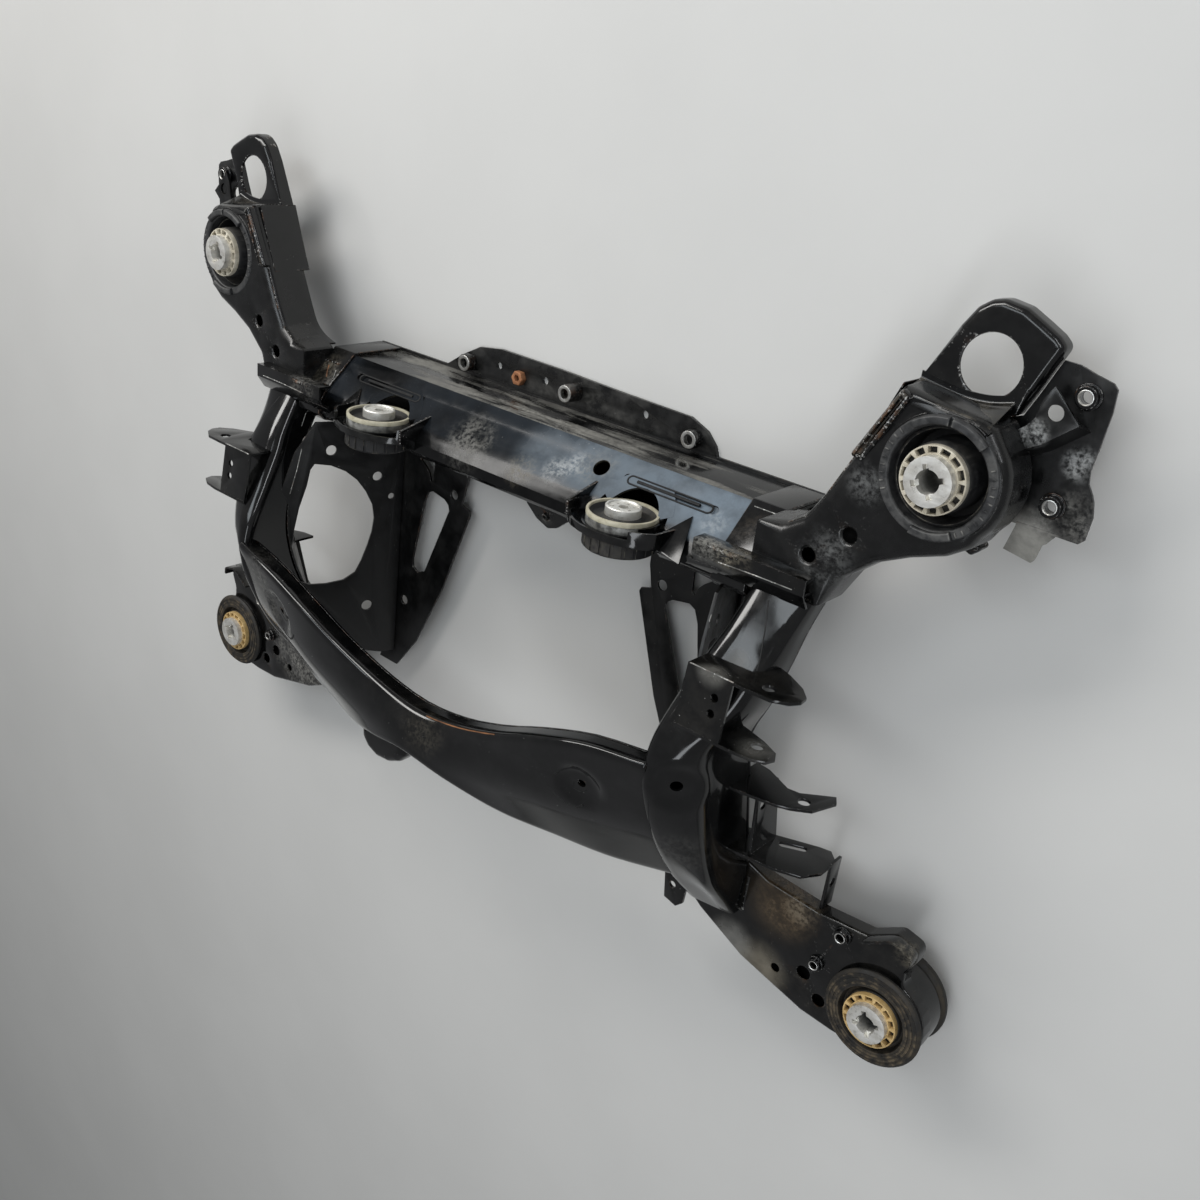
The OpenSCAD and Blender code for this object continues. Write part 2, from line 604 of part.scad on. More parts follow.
// Hanger plate on the rear edge of the rear beam, and its sleeves by place and top.
sleeve_at = [[-162.6, -72.3, -114.4], [0, -66.2, -107.4], [162.6, -72.3, -114.4]];
module hanger_plate() {
  color(black) translate([0, 0, beam_low - plate]) linear_extrude(plate + 1) difference() {
    polygon([[-202, -83.8], [192, -83.8], [188, -74], [176, -62], [154, -53], [62, -51], [-24, -48],
      [-116, -47], [-150, -52], [-176, -66]]);
    for (x = [-118, -46, 96]) translate([x, -66]) circle(d = 9);
    for (p = sleeve_at) translate([p[0], p[1]]) circle(d = sleeve_bore + 2);
  }
}

module hanger_sleeves() {
  for (p = sleeve_at) color(zinc) translate([p[0], p[1], beam_low + 1.1]) difference() {
    cylinder(d = 20, h = p[2] - beam_low - 1.1);
    translate([0, 0, -1]) cylinder(d = sleeve_bore, h = 60);
  }
  color([0.45, 0.24, 0.14]) translate([-82, -71, beam_low + 1.1]) difference() {
    cylinder(d = 17, h = 8, $fn = 6);
    translate([0, 0, -1]) cylinder(d = 8, h = 20);
  }
}

placed() rear_beam();
placed() rear_beam_floor();
placed() saddle_r();  // saddle_right
placed() left() saddle_r();  // saddle_left
placed() rear_arm_r();  // rear_arm_right
placed() left() rear_arm_r();  // rear_arm_left
placed() horn_r();  // horn_right
placed() left() horn_r();  // horn_left
placed() end_plate_r();  // end_plate_right
placed() left() end_plate_r();  // end_plate_left
placed() end_nuts_r();  // end_nuts_right
placed() left() end_nuts_r();  // end_nuts_left
placed() side_member_r();  // side_member_right
placed() left() side_member_r();  // side_member_left
placed() side_floor_r();  // side_floor_right
placed() left() side_floor_r();  // side_floor_left
placed() side_plate_r();  // side_plate_right
placed() left() side_plate_r();  // side_plate_left
placed() strut_plate_r();  // strut_plate_right
placed() left() strut_plate_r();  // strut_plate_left
placed() upper_bracket_r();  // upper_bracket_right
placed() left() upper_bracket_r();  // upper_bracket_left
placed() lower_bracket_r();  // lower_bracket_right
placed() left() lower_bracket_r();  // lower_bracket_left
placed() gusset_r();  // gusset_right
placed() left() gusset_r();  // gusset_left
placed() front_beam();
placed() front_beam_floor();
placed() front_arm_r();  // front_arm_right
placed() left() front_arm_r();  // front_arm_left
placed() arm_nuts_r();  // arm_nuts_right
placed() left() arm_nuts_r();  // arm_nuts_left
placed() front_tab_r();  // front_tab_right
placed() left() front_tab_r();  // front_tab_left
placed() rear_core_r();  // rear_core_right
placed() left() rear_core_r();  // rear_core_left
placed() rear_cage_r();  // rear_cage_right
placed() left() rear_cage_r();  // rear_cage_left
placed() rear_rubber_r();  // rear_rubber_right
placed() left() rear_rubber_r();  // rear_rubber_left
placed() rear_can_r();  // rear_can_right
placed() left() rear_can_r();  // rear_can_left
placed() front_core_r();  // front_core_right
placed() left() front_core_r();  // front_core_left
placed() front_cage_r();  // front_cage_right
placed() left() front_cage_r();  // front_cage_left
placed() front_rubber_r();  // front_rubber_right
placed() left() front_rubber_r();  // front_rubber_left
placed() front_can_r();  // front_can_right
placed() left() front_can_r();  // front_can_left
placed() drive_cup_r();  // drive_cup_right
placed() left() drive_cup_r();  // drive_cup_left
placed() drive_can_r();  // drive_can_right
placed() left() drive_can_r();  // drive_can_left
placed() drive_rubber_r();  // drive_rubber_right
placed() left() drive_rubber_r();  // drive_rubber_left
placed() drive_core_r();  // drive_core_right
placed() left() drive_core_r();  // drive_core_left
placed() hanger_plate();
placed() hanger_sleeves();
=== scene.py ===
"""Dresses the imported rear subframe: coats, rubber, bright metal, welds, dirt, rust and small fittings.

The CAD nodes keep their places. Sheet-metal nodes are stood for by copies with rounded folds, the
arched members and trays by smooth pressings, and small fittings are added on top. Sizes are in
millimetres in the work frame, whose origin lies midway between the rear body bolts.
"""

from __future__ import annotations

import logging
import math
from dataclasses import dataclass
from enum import Enum
from typing import Iterable, Sequence

import bmesh
import bpy
from mathutils import Matrix, Vector
from mathutils.bvhtree import BVHTree

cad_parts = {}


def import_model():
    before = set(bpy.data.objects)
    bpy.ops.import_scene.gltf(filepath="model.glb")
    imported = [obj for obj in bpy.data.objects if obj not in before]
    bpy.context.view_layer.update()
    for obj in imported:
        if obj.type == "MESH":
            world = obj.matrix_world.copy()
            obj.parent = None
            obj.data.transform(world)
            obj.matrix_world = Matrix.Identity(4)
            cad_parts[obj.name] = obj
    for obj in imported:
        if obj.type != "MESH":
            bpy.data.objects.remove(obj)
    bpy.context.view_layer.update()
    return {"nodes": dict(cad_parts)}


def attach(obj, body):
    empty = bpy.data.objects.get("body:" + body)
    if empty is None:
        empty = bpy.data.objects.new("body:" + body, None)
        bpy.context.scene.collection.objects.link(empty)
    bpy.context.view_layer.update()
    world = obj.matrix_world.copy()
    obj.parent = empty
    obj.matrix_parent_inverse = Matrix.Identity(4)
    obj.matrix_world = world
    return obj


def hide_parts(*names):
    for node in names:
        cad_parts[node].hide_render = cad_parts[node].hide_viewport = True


LOG = logging.getLogger("subframe")
Colour = tuple[float, float, float]
Point = tuple[float, float, float]
Flat = tuple[float, float]

MM = 0.001
ROW_SHIFT = Vector((0.0, 227.5, 131.0))
BODY = "root"
EDGE = "edge_wear"
PRESSED_FOLDS = (55.0, 75.0)
FREE = ""
JOIN_GAP = 2e-5
FLAT_FOLD = 0.5
SHARP_FOLD = 33.0
FOLD_PARTS = 3
COPY_SMOOTH = 50.0
FULL_TURN = 359.9
DRILL_SIDES = 32

SEAT_BORE = 44.2
SEAT_TUBE = 48.4
SEAT_DROP = 2.6
REAR_BUSH: Flat = (470.0, 0.0)
FRONT_BUSH: Flat = (517.0, -540.0)
DRIVE_BUSH: Point = (177.0, -121.0, -4.0)
BEAM_FACE: Point = (0.0, 0.7207, 0.6934)

TAN_DUST: Colour = (0.30, 0.265, 0.20)
GREY_DUST: Colour = (0.34, 0.33, 0.30)
CHALK: Colour = (0.55, 0.56, 0.55)
BROWN_MUD: Colour = (0.17, 0.115, 0.062)
RUST: Colour = (0.30, 0.105, 0.035)
BARE_CHIP: Colour = (0.62, 0.61, 0.58)
# Tint of the painted bluish sheen on the rear beam's slanted face.
PAINTED_BLUE_SHEEN: Colour = (0.17, 0.21, 0.25)


def row(x: float, y: float, z: float) -> Vector:
    """Turns a work-frame point in millimetres into a row-frame point in metres."""
    return (Vector((x, y, z)) + ROW_SHIFT) * MM


class Side(Enum):
    """The two mirrored halves of the subframe."""

    RIGHT = 1
    LEFT = -1

    @property
    def tag(self) -> str:
        """The ending of this side's node names."""
        return self.name.lower()

    def row(self, x: float, y: float, z: float) -> Vector:
        """A right-hand work-frame point, mirrored for this side, in the row frame."""
        return row(self.value * x, y, z)


class Tree:
    """Adds shader nodes to one material and links them."""

    def __init__(self, name: str) -> None:
        """Starts a material with an empty tree and a principled shader.

        Args:
            name: The material's name.
        """
        self.material = bpy.data.materials.new(name)
        self.material.use_nodes = True
        self.nodes = self.material.node_tree.nodes
        self.links = self.material.node_tree.links
        self.nodes.clear()
        out = self.nodes.new("ShaderNodeOutputMaterial")
        self.shader = self.nodes.new("ShaderNodeBsdfPrincipled")
        self.links.new(self.shader.outputs["BSDF"], out.inputs["Surface"])
        self.coord = self.nodes.new("ShaderNodeTexCoord").outputs["Object"]

    def put(self, socket: bpy.types.NodeSocket, value: object) -> None:
        """Links a socket to another one, or sets its constant.

        Args:
            socket: The input to fill.
            value: An output socket, a number or a colour.
        """
        if isinstance(value, bpy.types.NodeSocket):
            self.links.new(value, socket)
        elif socket.type == "RGBA":
            socket.default_value = (*value, 1.0)
        else:
            socket.default_value = value

    def math(self, work: str, a: object, b: object = 0.0) -> bpy.types.NodeSocket:
        """A clamped math node.

        Args:
            work: The node's operation.
            a: First value or socket.
            b: Second value or socket.

        Returns:
            The result's socket.
        """
        node = self.nodes.new("ShaderNodeMath")
        node.operation = work
        node.use_clamp = True
        self.put(node.inputs[0], a)
        self.put(node.inputs[1], b)
        return node.outputs[0]

    def times(self, *parts: object) -> bpy.types.NodeSocket:
        """The product of several masks.

        Args:
            parts: Numbers or sockets.

        Returns:
            The product's socket.
        """
        total = parts[0]
        for part in parts[1:]:
            total = self.math("MULTIPLY", total, part)
        return total

    def noise(self, scale: float, detail: float = 4.0, rough: float = 0.55, warp: float = 0.0,
              stretch: Point = (1.0, 1.0, 1.0)) -> bpy.types.NodeSocket:
        """A noise pattern on the piece's own coordinates.

        Args:
            scale: Features per metre, roughly.
            detail: Number of octaves.
            rough: Strength of the finer octaves.
            warp: Distortion.
            stretch: Scale along each axis, for streaks.

        Returns:
            The noise value's socket.
        """
        node = self.nodes.new("ShaderNodeTexNoise")
        vector = self.coord
        if stretch != (1.0, 1.0, 1.0):
            mapping = self.nodes.new("ShaderNodeMapping")
            mapping.inputs["Scale"].default_value = stretch
            self.links.new(self.coord, mapping.inputs["Vector"])
            vector = mapping.outputs["Vector"]
        self.links.new(vector, node.inputs["Vector"])
        node.inputs["Scale"].default_value = scale
        node.inputs["Detail"].default_value = detail
        node.inputs["Roughness"].default_value = rough
        node.inputs["Distortion"].default_value = warp
        return node.outputs[0]

    def ramp(self, value: object, low: float, high: float, start: float = 0.0,
             end: float = 1.0) -> bpy.types.NodeSocket:
        """A smooth step of a value between two limits.

        Args:
            value: The socket to map.
            low: Value that gives start.
            high: Value that gives end.
            start: Result at low.
            end: Result at high.

        Returns:
            The mapped socket.
        """
        node = self.nodes.new("ShaderNodeMapRange")
        node.interpolation_type = "SMOOTHSTEP"
        self.put(node.inputs["Value"], value)
        node.inputs["From Min"].default_value = low
        node.inputs["From Max"].default_value = high
        node.inputs["To Min"].default_value = start
        node.inputs["To Max"].default_value = end
        return node.outputs["Result"]

    def blend(self, share: object, a: object, b: object) -> bpy.types.NodeSocket:
        """Mixes two colours.

        Args:
            share: How much of b shows.
            a: Colour or socket.
            b: Colour or socket.

        Returns:
            The mixed colour's socket.
        """
        node = self.nodes.new("ShaderNodeMix")
        node.data_type = "RGBA"
        self.put(node.inputs[0], share)
        self.put(node.inputs[6], a)
        self.put(node.inputs[7], b)
        return node.outputs[2]

    def lerp(self, share: object, a: object, b: object) -> bpy.types.NodeSocket:
        """Mixes two numbers.

        Args:
            share: How much of b counts.
            a: Number or socket.
            b: Number or socket.

        Returns:
            The mixed number's socket.
        """
        node = self.nodes.new("ShaderNodeMix")
        node.data_type = "FLOAT"
        self.put(node.inputs[0], share)
        self.put(node.inputs[2], a)
        self.put(node.inputs[3], b)
        return node.outputs[0]

    def worn_edge(self) -> bpy.types.NodeSocket:
        """The mask of worn outer edges, from the piece's own attribute."""
        node = self.nodes.new("ShaderNodeAttribute")
        node.attribute_name = EDGE
        return node.outputs["Fac"]

    def near(self, at: Vector, reach: float) -> bpy.types.NodeSocket:
        """A soft mask round a point.

        Args:
            at: The point in the row frame, in metres.
            reach: Distance at which the mask ends, in metres.

        Returns:
            The mask's socket.
        """
        node = self.nodes.new("ShaderNodeVectorMath")
        node.operation = "DISTANCE"
        self.links.new(self.coord, node.inputs[0])
        node.inputs[1].default_value = at
        return self.ramp(node.outputs["Value"], reach, 0.25 * reach)

    def facing(self, way: Point) -> bpy.types.NodeSocket:
        """How far the surface faces a direction.

        Args:
            way: The direction in the row frame.

        Returns:
            The cosine's socket, 0 where it faces away.
        """
        geometry = self.nodes.new("ShaderNodeNewGeometry")
        node = self.nodes.new("ShaderNodeVectorMath")
        node.operation = "DOT_PRODUCT"
        self.links.new(geometry.outputs["Normal"], node.inputs[0])
        node.inputs[1].default_value = Vector(way).normalized()
        return self.math("MAXIMUM", node.outputs["Value"], 0.0)

    def bump(self, height: object, strength: float, depth: float) -> None:
        """Sets the surface relief of the shader.

        Args:
            height: The relief's socket.
            strength: Share of the relief that shows.
            depth: Height of the relief in metres.
        """
        node = self.nodes.new("ShaderNodeBump")
        node.inputs["Strength"].default_value = strength
        node.inputs["Distance"].default_value = depth
        self.put(node.inputs["Height"], height)
        self.links.new(node.outputs["Normal"], self.shader.inputs["Normal"])


@dataclass(frozen=True)
class Stain:
    """A dirty place, or a patch of painted sheen, with its middle in the work frame and its reach in
    millimetres.

    A mottled one breaks up into spots. Any other is smooth; in a coat with a painted sheen it lies on the
    sheen's face and is painted sheen itself.
    """

    at: Point
    reach: float
    amount: float
    tint: Colour = TAN_DUST
    mottled: bool = True


@dataclass(frozen=True)
class CoatFinish:
    """Glossy dip coat on pressed steel, with dust, rust and chips, and a painted sheen on faces that look one
    way, where one is set.
    """

    name: str
    slot: str = "coat_black"
    deep: Colour = (0.0018, 0.0019, 0.0020)
    pale: Colour = (0.0045, 0.0046, 0.0048)
    gloss: Flat = (0.08, 0.16)
    dust: float = 0.014
    dust_tint: Colour = TAN_DUST
    dust_way: Point = (0.05, 0.80, 0.60)
    dust_reach: Flat = (0.45, 0.98)
    streak: Point = (1.0, 1.0, 1.0)
    flake: Flat = (0.34, 0.66)
    film: float = 0.0
    film_way: Point = (0.0, 0.72, 0.69)
    film_tint: Colour = (0.060, 0.075, 0.094)
    rust: float = 0.30
    chips: float = 0.35
    shine: float = 0.5
    stains: tuple[Stain, ...] = ()

    def make(self) -> bpy.types.Material:
        """Builds the material.

        Returns:
            The finished material.
        """
        t = Tree(self.name)
        cloud = t.noise(9.0, 3.0)
        grime = t.noise(42.0, 6.0, 0.65)
        grain = t.noise(230.0, 5.0, 0.7)
        fleck = t.noise(430.0, 2.0, 0.5)
        rusty = t.noise(75.0, 5.0, 0.7)
        edge = t.worn_edge()
        colour = t.blend(t.ramp(grime, 0.35, 0.70), self.deep, self.pale)
        face: object = 1.0
        # Painted sheen: faces that look along the sheen direction take a bluish tint, broken up by the cloud
        # noise.
        if self.film:
            face = t.ramp(t.facing(self.film_way), 0.983, 0.994)
            colour = t.blend(t.times(face, t.ramp(cloud, 0.30, 0.68), self.film), colour, self.film_tint)
        drift = t.noise(42.0, 6.0, 0.65, 0.0, self.streak)
        soil = t.times(t.ramp(t.facing(self.dust_way), *self.dust_reach), t.ramp(cloud, 0.30, 0.62),
                       t.ramp(drift, *self.flake), t.ramp(grain, 0.35, 0.60, 0.5, 1.0), self.dust)
        colour = t.blend(soil, colour, t.blend(grain, self.dust_tint, tuple(0.6 * c for c in self.dust_tint)))
        cover = soil
        for stain_or_sheen in self.stains:
            patch = t.times(t.near(row(*stain_or_sheen.at), stain_or_sheen.reach * MM), stain_or_sheen.amount)
            if stain_or_sheen.mottled:
                patch = t.times(patch, t.ramp(grain, 0.36, 0.62), t.ramp(grime, 0.30, 0.62))
            else:
                # Smooth patch: where the coat has a painted sheen it lies on that face and is painted sheen
                # too.
                patch = t.times(face, patch, t.ramp(grime, 0.25, 0.65, 0.55, 1.0))
            colour = t.blend(patch, colour, stain_or_sheen.tint)
            cover = t.math("MAXIMUM", cover, patch)
        brown = t.times(edge, t.ramp(rusty, 0.50, 0.66), self.rust)
        colour = t.blend(brown, colour, t.blend(grain, RUST, BROWN_MUD))
        bare = t.times(t.math("MAXIMUM", t.times(edge, t.ramp(fleck, 0.58, 0.64)),
                              t.times(t.ramp(fleck, 0.745, 0.765), t.ramp(cloud, 0.45, 0.60))), self.chips)
        colour = t.blend(bare, colour, BARE_CHIP)
        t.put(t.shader.inputs["Base Color"], colour)
        sheen = t.lerp(t.ramp(grime, 0.30, 0.75), self.gloss[0], self.gloss[1])
        rough = t.lerp(t.math("MAXIMUM", cover, brown), sheen, 0.85)
        t.put(t.shader.inputs["Roughness"], rough)
        t.shader.inputs["Specular IOR Level"].default_value = self.shine
        relief = t.lerp(cover, t.times(grain, 0.25), grain)
        t.bump(t.lerp(0.75, relief, cloud), 0.09, 0.0014)
        return t.material


@dataclass(frozen=True)
class MetalFinish:
    """Bare or plated metal with a dull bloom, dirt spots and painted shade inside its bores."""

    name: str
    slot: str
    bright: Colour
    dull: Colour
    rough: Flat = (0.28, 0.55)
    dirt: float = 0.3
    dirt_tint: Colour = (0.09, 0.075, 0.055)
    metallic: float = 1.0
    bores: tuple[Point, ...] = ()
    bore_shade_reach: float = 27.0
    bore_shade: Colour = (0.035, 0.038, 0.042)

    def make(self) -> bpy.types.Material:
        """Builds the material.

        Returns:
            The finished material.
        """
        t = Tree(self.name)
        bloom = t.noise(95.0, 5.0, 0.6)
        scratch = t.noise(60.0, 4.0, 0.7, 0.4, (1.0, 14.0, 1.0))
        spots = t.noise(240.0, 4.0, 0.6)
        colour = t.blend(t.ramp(bloom, 0.35, 0.65), self.bright, self.dull)
        soil = t.times(t.ramp(spots, 0.52, 0.66), t.ramp(bloom, 0.40, 0.62), self.dirt)
        colour = t.blend(soil, colour, self.dirt_tint)
        # Painted shade inside the bores: darker round each bore's middle.
        for bore in self.bores:
            colour = t.blend(t.near(row(*bore), self.bore_shade_reach * MM), colour, self.bore_shade)
        t.put(t.shader.inputs["Base Color"], colour)
        t.shader.inputs["Metallic"].default_value = self.metallic
        t.put(t.shader.inputs["Roughness"], t.lerp(t.ramp(scratch, 0.3, 0.7), self.rough[0], self.rough[1]))
        t.bump(t.lerp(0.5, scratch, spots), 0.12, 0.0006)
        return t.material


@dataclass(frozen=True)
class MouldedFinish:
    """Rubber or moulded plastic with a dusty bloom."""

    name: str
    slot: str
    deep: Colour
    pale: Colour
    rough: Flat = (0.55, 0.80)
    dust: float = 0.3
    dust_tint: Colour = TAN_DUST
    dust_way: Point = (0.05, 0.60, 0.80)
    relief: float = 0.20
    worn: float = 0.35

    def make(self) -> bpy.types.Material:
        """Builds the material.

        Returns:
            The finished material.
        """
        t = Tree(self.name)
        cloud = t.noise(28.0, 4.0)
        grime = t.noise(110.0, 6.0, 0.68)
        grain = t.noise(620.0, 3.0, 0.6)
        colour = t.blend(t.ramp(grime, 0.32, 0.70), self.deep, self.pale)
        soil = t.times(t.ramp(t.facing(self.dust_way), 0.25, 0.95), t.ramp(cloud, 0.32, 0.66),
                       t.ramp(grime, 0.30, 0.64), self.dust)
        colour = t.blend(soil, colour, self.dust_tint)
        bare = t.times(t.worn_edge(), t.ramp(grime, 0.46, 0.62), self.worn)
        colour = t.blend(bare, colour, self.dust_tint)
        t.put(t.shader.inputs["Base Color"], colour)
        t.put(t.shader.inputs["Roughness"], t.lerp(t.ramp(grime, 0.3, 0.7), self.rough[0], self.rough[1]))
        t.bump(t.lerp(0.5, grime, grain), self.relief, 0.0006)
        return t.material


Finish = CoatFinish | MetalFinish | MouldedFinish

COAT = CoatFinish("dip_coat")
# Rear beam: grey dust on faces turned to the rear, chalk and tan dust marks, and a painted bluish sheen on
# the slanted face that grows towards its right end.
COAT_BEAM = CoatFinish("dip_coat_beam", "coat_blue_grey", gloss=(0.12, 0.24), dust=0.85, dust_tint=GREY_DUST,
                       dust_way=(0.0, 0.97, 0.10), dust_reach=(0.86, 0.99), streak=(0.16, 1.0, 1.0),
                       flake=(0.44, 0.58), film=0.22, rust=0.2, shine=0.22,
                       stains=(Stain((262, -104, -40), 60, 0.95, PAINTED_BLUE_SHEEN, False),
                               Stain((195, -104, -40), 66, 0.72, PAINTED_BLUE_SHEEN, False),
                               Stain((118, -104, -40), 70, 0.66, PAINTED_BLUE_SHEEN, False),
                               Stain((48, -108, -36), 50, 0.40, PAINTED_BLUE_SHEEN, False),
                               Stain((-52, -120, -22), 42, 0.32, GREY_DUST),
                               Stain((70, -117, -26), 22, 0.55, CHALK),
                               Stain((88, -106, -36), 18, 0.45, CHALK),
                               Stain((30, -126, -17), 24, 0.45, TAN_DUST),
                               Stain((262, -112, -32), 20, 0.30, CHALK),
                               Stain((112, -104, -40), 30, 0.30, TAN_DUST)))
COAT_SADDLE = CoatFinish("dip_coat_saddle", gloss=(0.10, 0.20), dust=0.03, rust=0.4,
                         stains=(Stain((304, -110, -35), 30, 0.08, BROWN_MUD),
                                 Stain((-304, -110, -35), 30, 0.25)))
COAT_SIDE = CoatFinish("dip_coat_side", gloss=(0.07, 0.15), rust=0.15, chips=0.08,
                       stains=(Stain((350, -196, 40), 18, 0.26, GREY_DUST, False),
                               Stain((330, -410, 40), 40, 0.08, GREY_DUST),
                               Stain((-345, -500, -36), 60, 0.32, GREY_DUST),
                               Stain((-335, -455, 5), 56, 0.22, GREY_DUST)))
COAT_FRONT = CoatFinish("dip_coat_front", gloss=(0.08, 0.17), rust=0.6, chips=0.4,
                        stains=(Stain((-272, -336, 88), 44, 0.24, GREY_DUST),
                                Stain((-272, -380, 76), 46, 0.24, GREY_DUST),
                                Stain((-276, -425, 50), 48, 0.26, GREY_DUST),
                                Stain((25, -395, 92), 40, 0.10, TAN_DUST)))
COAT_GUSSET = CoatFinish("dip_coat_gusset", dust=0.03, rust=0.4,
                         stains=(Stain((282, -116, 9), 26, 0.55, GREY_DUST),
                                 Stain((310, -116, 9), 26, 0.45, TAN_DUST),
                                 Stain((-300, -118, 8), 30, 0.35, GREY_DUST)))
COAT_BRACKET = CoatFinish("dip_coat_bracket", gloss=(0.10, 0.20), dust=0.04, rust=0.3, chips=0.5,
                          stains=(Stain((345, -198, 65), 20, 0.34, GREY_DUST, False),
                                  Stain((395, -258, 52), 24, 0.22, GREY_DUST, False)))
COAT_DUSTY = CoatFinish("dip_coat_dusty", gloss=(0.22, 0.40), dust=0.45, dust_tint=GREY_DUST, rust=0.4)
COAT_CUP = CoatFinish("dip_coat_cup", dust=0.04, dust_tint=GREY_DUST, dust_way=(0.0, 0.30, 0.95), rust=0.2,
                      chips=0.5)
COAT_STRIP = CoatFinish("dip_coat_strip", gloss=(0.10, 0.22), dust=0.40, dust_tint=(0.16, 0.13, 0.09),
                        dust_way=(-0.3, 0.4, 0.85), rust=0.35, chips=0.5)
WORN_LINE = CoatFinish("worn_edge_line", "coat_matt", deep=(0.07, 0.07, 0.066), pale=(0.34, 0.34, 0.32),
                       gloss=(0.30, 0.50), rust=0.2, chips=0.9)
COAT_ARM = CoatFinish("dip_coat_arm", gloss=(0.20, 0.34), dust=0.03, rust=0.02, chips=0.07,
                      stains=(Stain((392, -96, -11), 34, 0.14, CHALK),
                              Stain((414, -22, -11), 24, 0.16, CHALK)))
COAT_HORN = CoatFinish("dip_coat_horn", gloss=(0.12, 0.22), dust=0.05, rust=0.10, chips=0.6)
COAT_STEP = CoatFinish("dip_coat_step", gloss=(0.12, 0.24), dust=0.35, dust_way=(0.0, 0.95, 0.3), rust=0.05)
COAT_END = CoatFinish("dip_coat_end_plate", "coat_matt", gloss=(0.26, 0.45), dust=0.15, dust_tint=GREY_DUST,
                      stains=(Stain((566, -20, -62), 36, 0.34, GREY_DUST),
                              Stain((530, -50, -71), 40, 1.0, GREY_DUST, False),
                              Stain((540, -30, -62), 24, 0.42, GREY_DUST),
                              Stain((520, 45, -46), 16, 0.6, CHALK),
                              Stain((556, 28, -62), 18, 0.5, CHALK)))
COAT_FOOT = CoatFinish("dip_coat_foot", dust=0.10, rust=0.10, chips=0.10,
                       stains=(Stain((396, -482, -58), 52, 0.22, BROWN_MUD, False),
                               Stain((404, -478, -58), 44, 0.50, BROWN_MUD),
                               Stain((418, -474, -58), 24, 0.30, TAN_DUST),
                               Stain((388, -566, -66), 40, 0.45, TAN_DUST, False),
                               Stain((350, -556, -64), 34, 0.50, GREY_DUST, False),
                               Stain((534, -455, -50), 22, 0.45, TAN_DUST),
                               Stain((-404, -528, -58), 50, 0.34, GREY_DUST),
                               Stain((-368, -556, -60), 56, 0.40, GREY_DUST)))
COAT_PLATE = CoatFinish("dip_coat_plate", "coat_matt", gloss=(0.28, 0.50), dust=0.06)
WELD = CoatFinish("weld_coat", pale=(0.022, 0.021, 0.020), gloss=(0.20, 0.45), dust=0.3, rust=0.0)
RUST_LINE = CoatFinish("rust_line", "coat_matt", deep=(0.085, 0.035, 0.014), pale=(0.36, 0.15, 0.055),
                       gloss=(0.60, 0.80), dust=0.0, rust=0.0, chips=0.0)
# Near-black beads in slits, slots and the groove: painted shadow where no gap is cut.
SLIT = MouldedFinish("seam_shadow", "rubber", (0.001, 0.001, 0.001), (0.003, 0.003, 0.003), dust=0.0,
                     worn=0.0)
# The cores' bores get painted shade.
ALUMINIUM = MetalFinish("core_aluminium", "core_aluminium", (0.86, 0.85, 0.81), (0.70, 0.68, 0.63),
                        (0.36, 0.55), 0.35, metallic=0.8,
                        bores=((470, 0, -20), (-470, 0, -20), (517, -540, -66), (-517, -540, -66)))
ZINC = MetalFinish("zinc_plate", "zinc", (0.70, 0.70, 0.68), (0.46, 0.45, 0.42), (0.28, 0.52), 0.4)
RUSTY_NUT = MetalFinish("rusty_nut", "zinc", (0.42, 0.19, 0.09), (0.24, 0.10, 0.045), (0.55, 0.80), 0.4,
                        metallic=0.35)
CAGE = MouldedFinish("cage_cream", "cage_cream", (0.38, 0.34, 0.26), (0.64, 0.60, 0.50), (0.40, 0.62), 0.55,
                     BROWN_MUD)
CAGE_GOLD = MouldedFinish("cage_gold", "cage_cream", (0.42, 0.28, 0.11), (0.62, 0.44, 0.20), (0.36, 0.58),
                          0.35, BROWN_MUD)
RUBBER = MouldedFinish("rubber_black", "rubber", (0.006, 0.006, 0.007), (0.016, 0.016, 0.016), dust=0.12)
RUBBER_DUSTY = MouldedFinish("rubber_dusty", "rubber", (0.005, 0.0048, 0.0045), (0.017, 0.0145, 0.011),
                             dust=0.24, dust_tint=(0.16, 0.12, 0.07))
DRIVE_BAND = MouldedFinish("drive_band", "drive_can", (0.030, 0.029, 0.026), (0.12, 0.115, 0.10), (0.5, 0.7),
                           0.45, CHALK)
CAN = MouldedFinish("can_steel", "can_steel", (0.012, 0.0125, 0.0135), (0.030, 0.0305, 0.032), (0.40, 0.60),
                    0.12, GREY_DUST)
DRIVE_CAN = MouldedFinish("drive_can", "drive_can", (0.34, 0.31, 0.22), (0.52, 0.49, 0.38), (0.45, 0.65),
                          0.25)


class FinishShop:
    """Makes each finish once and hands out its material."""

    def __init__(self) -> None:
        """Starts with no material made."""
        self.made: dict[str, bpy.types.Material] = {}

    def material(self, finish: Finish) -> bpy.types.Material:
        """The material of a finish.

        Args:
            finish: The finish wanted.

        Returns:
            Its material, made on first use.
        """
        if finish.name not in self.made:
            self.made[finish.name] = finish.make()
        return self.made[finish.name]


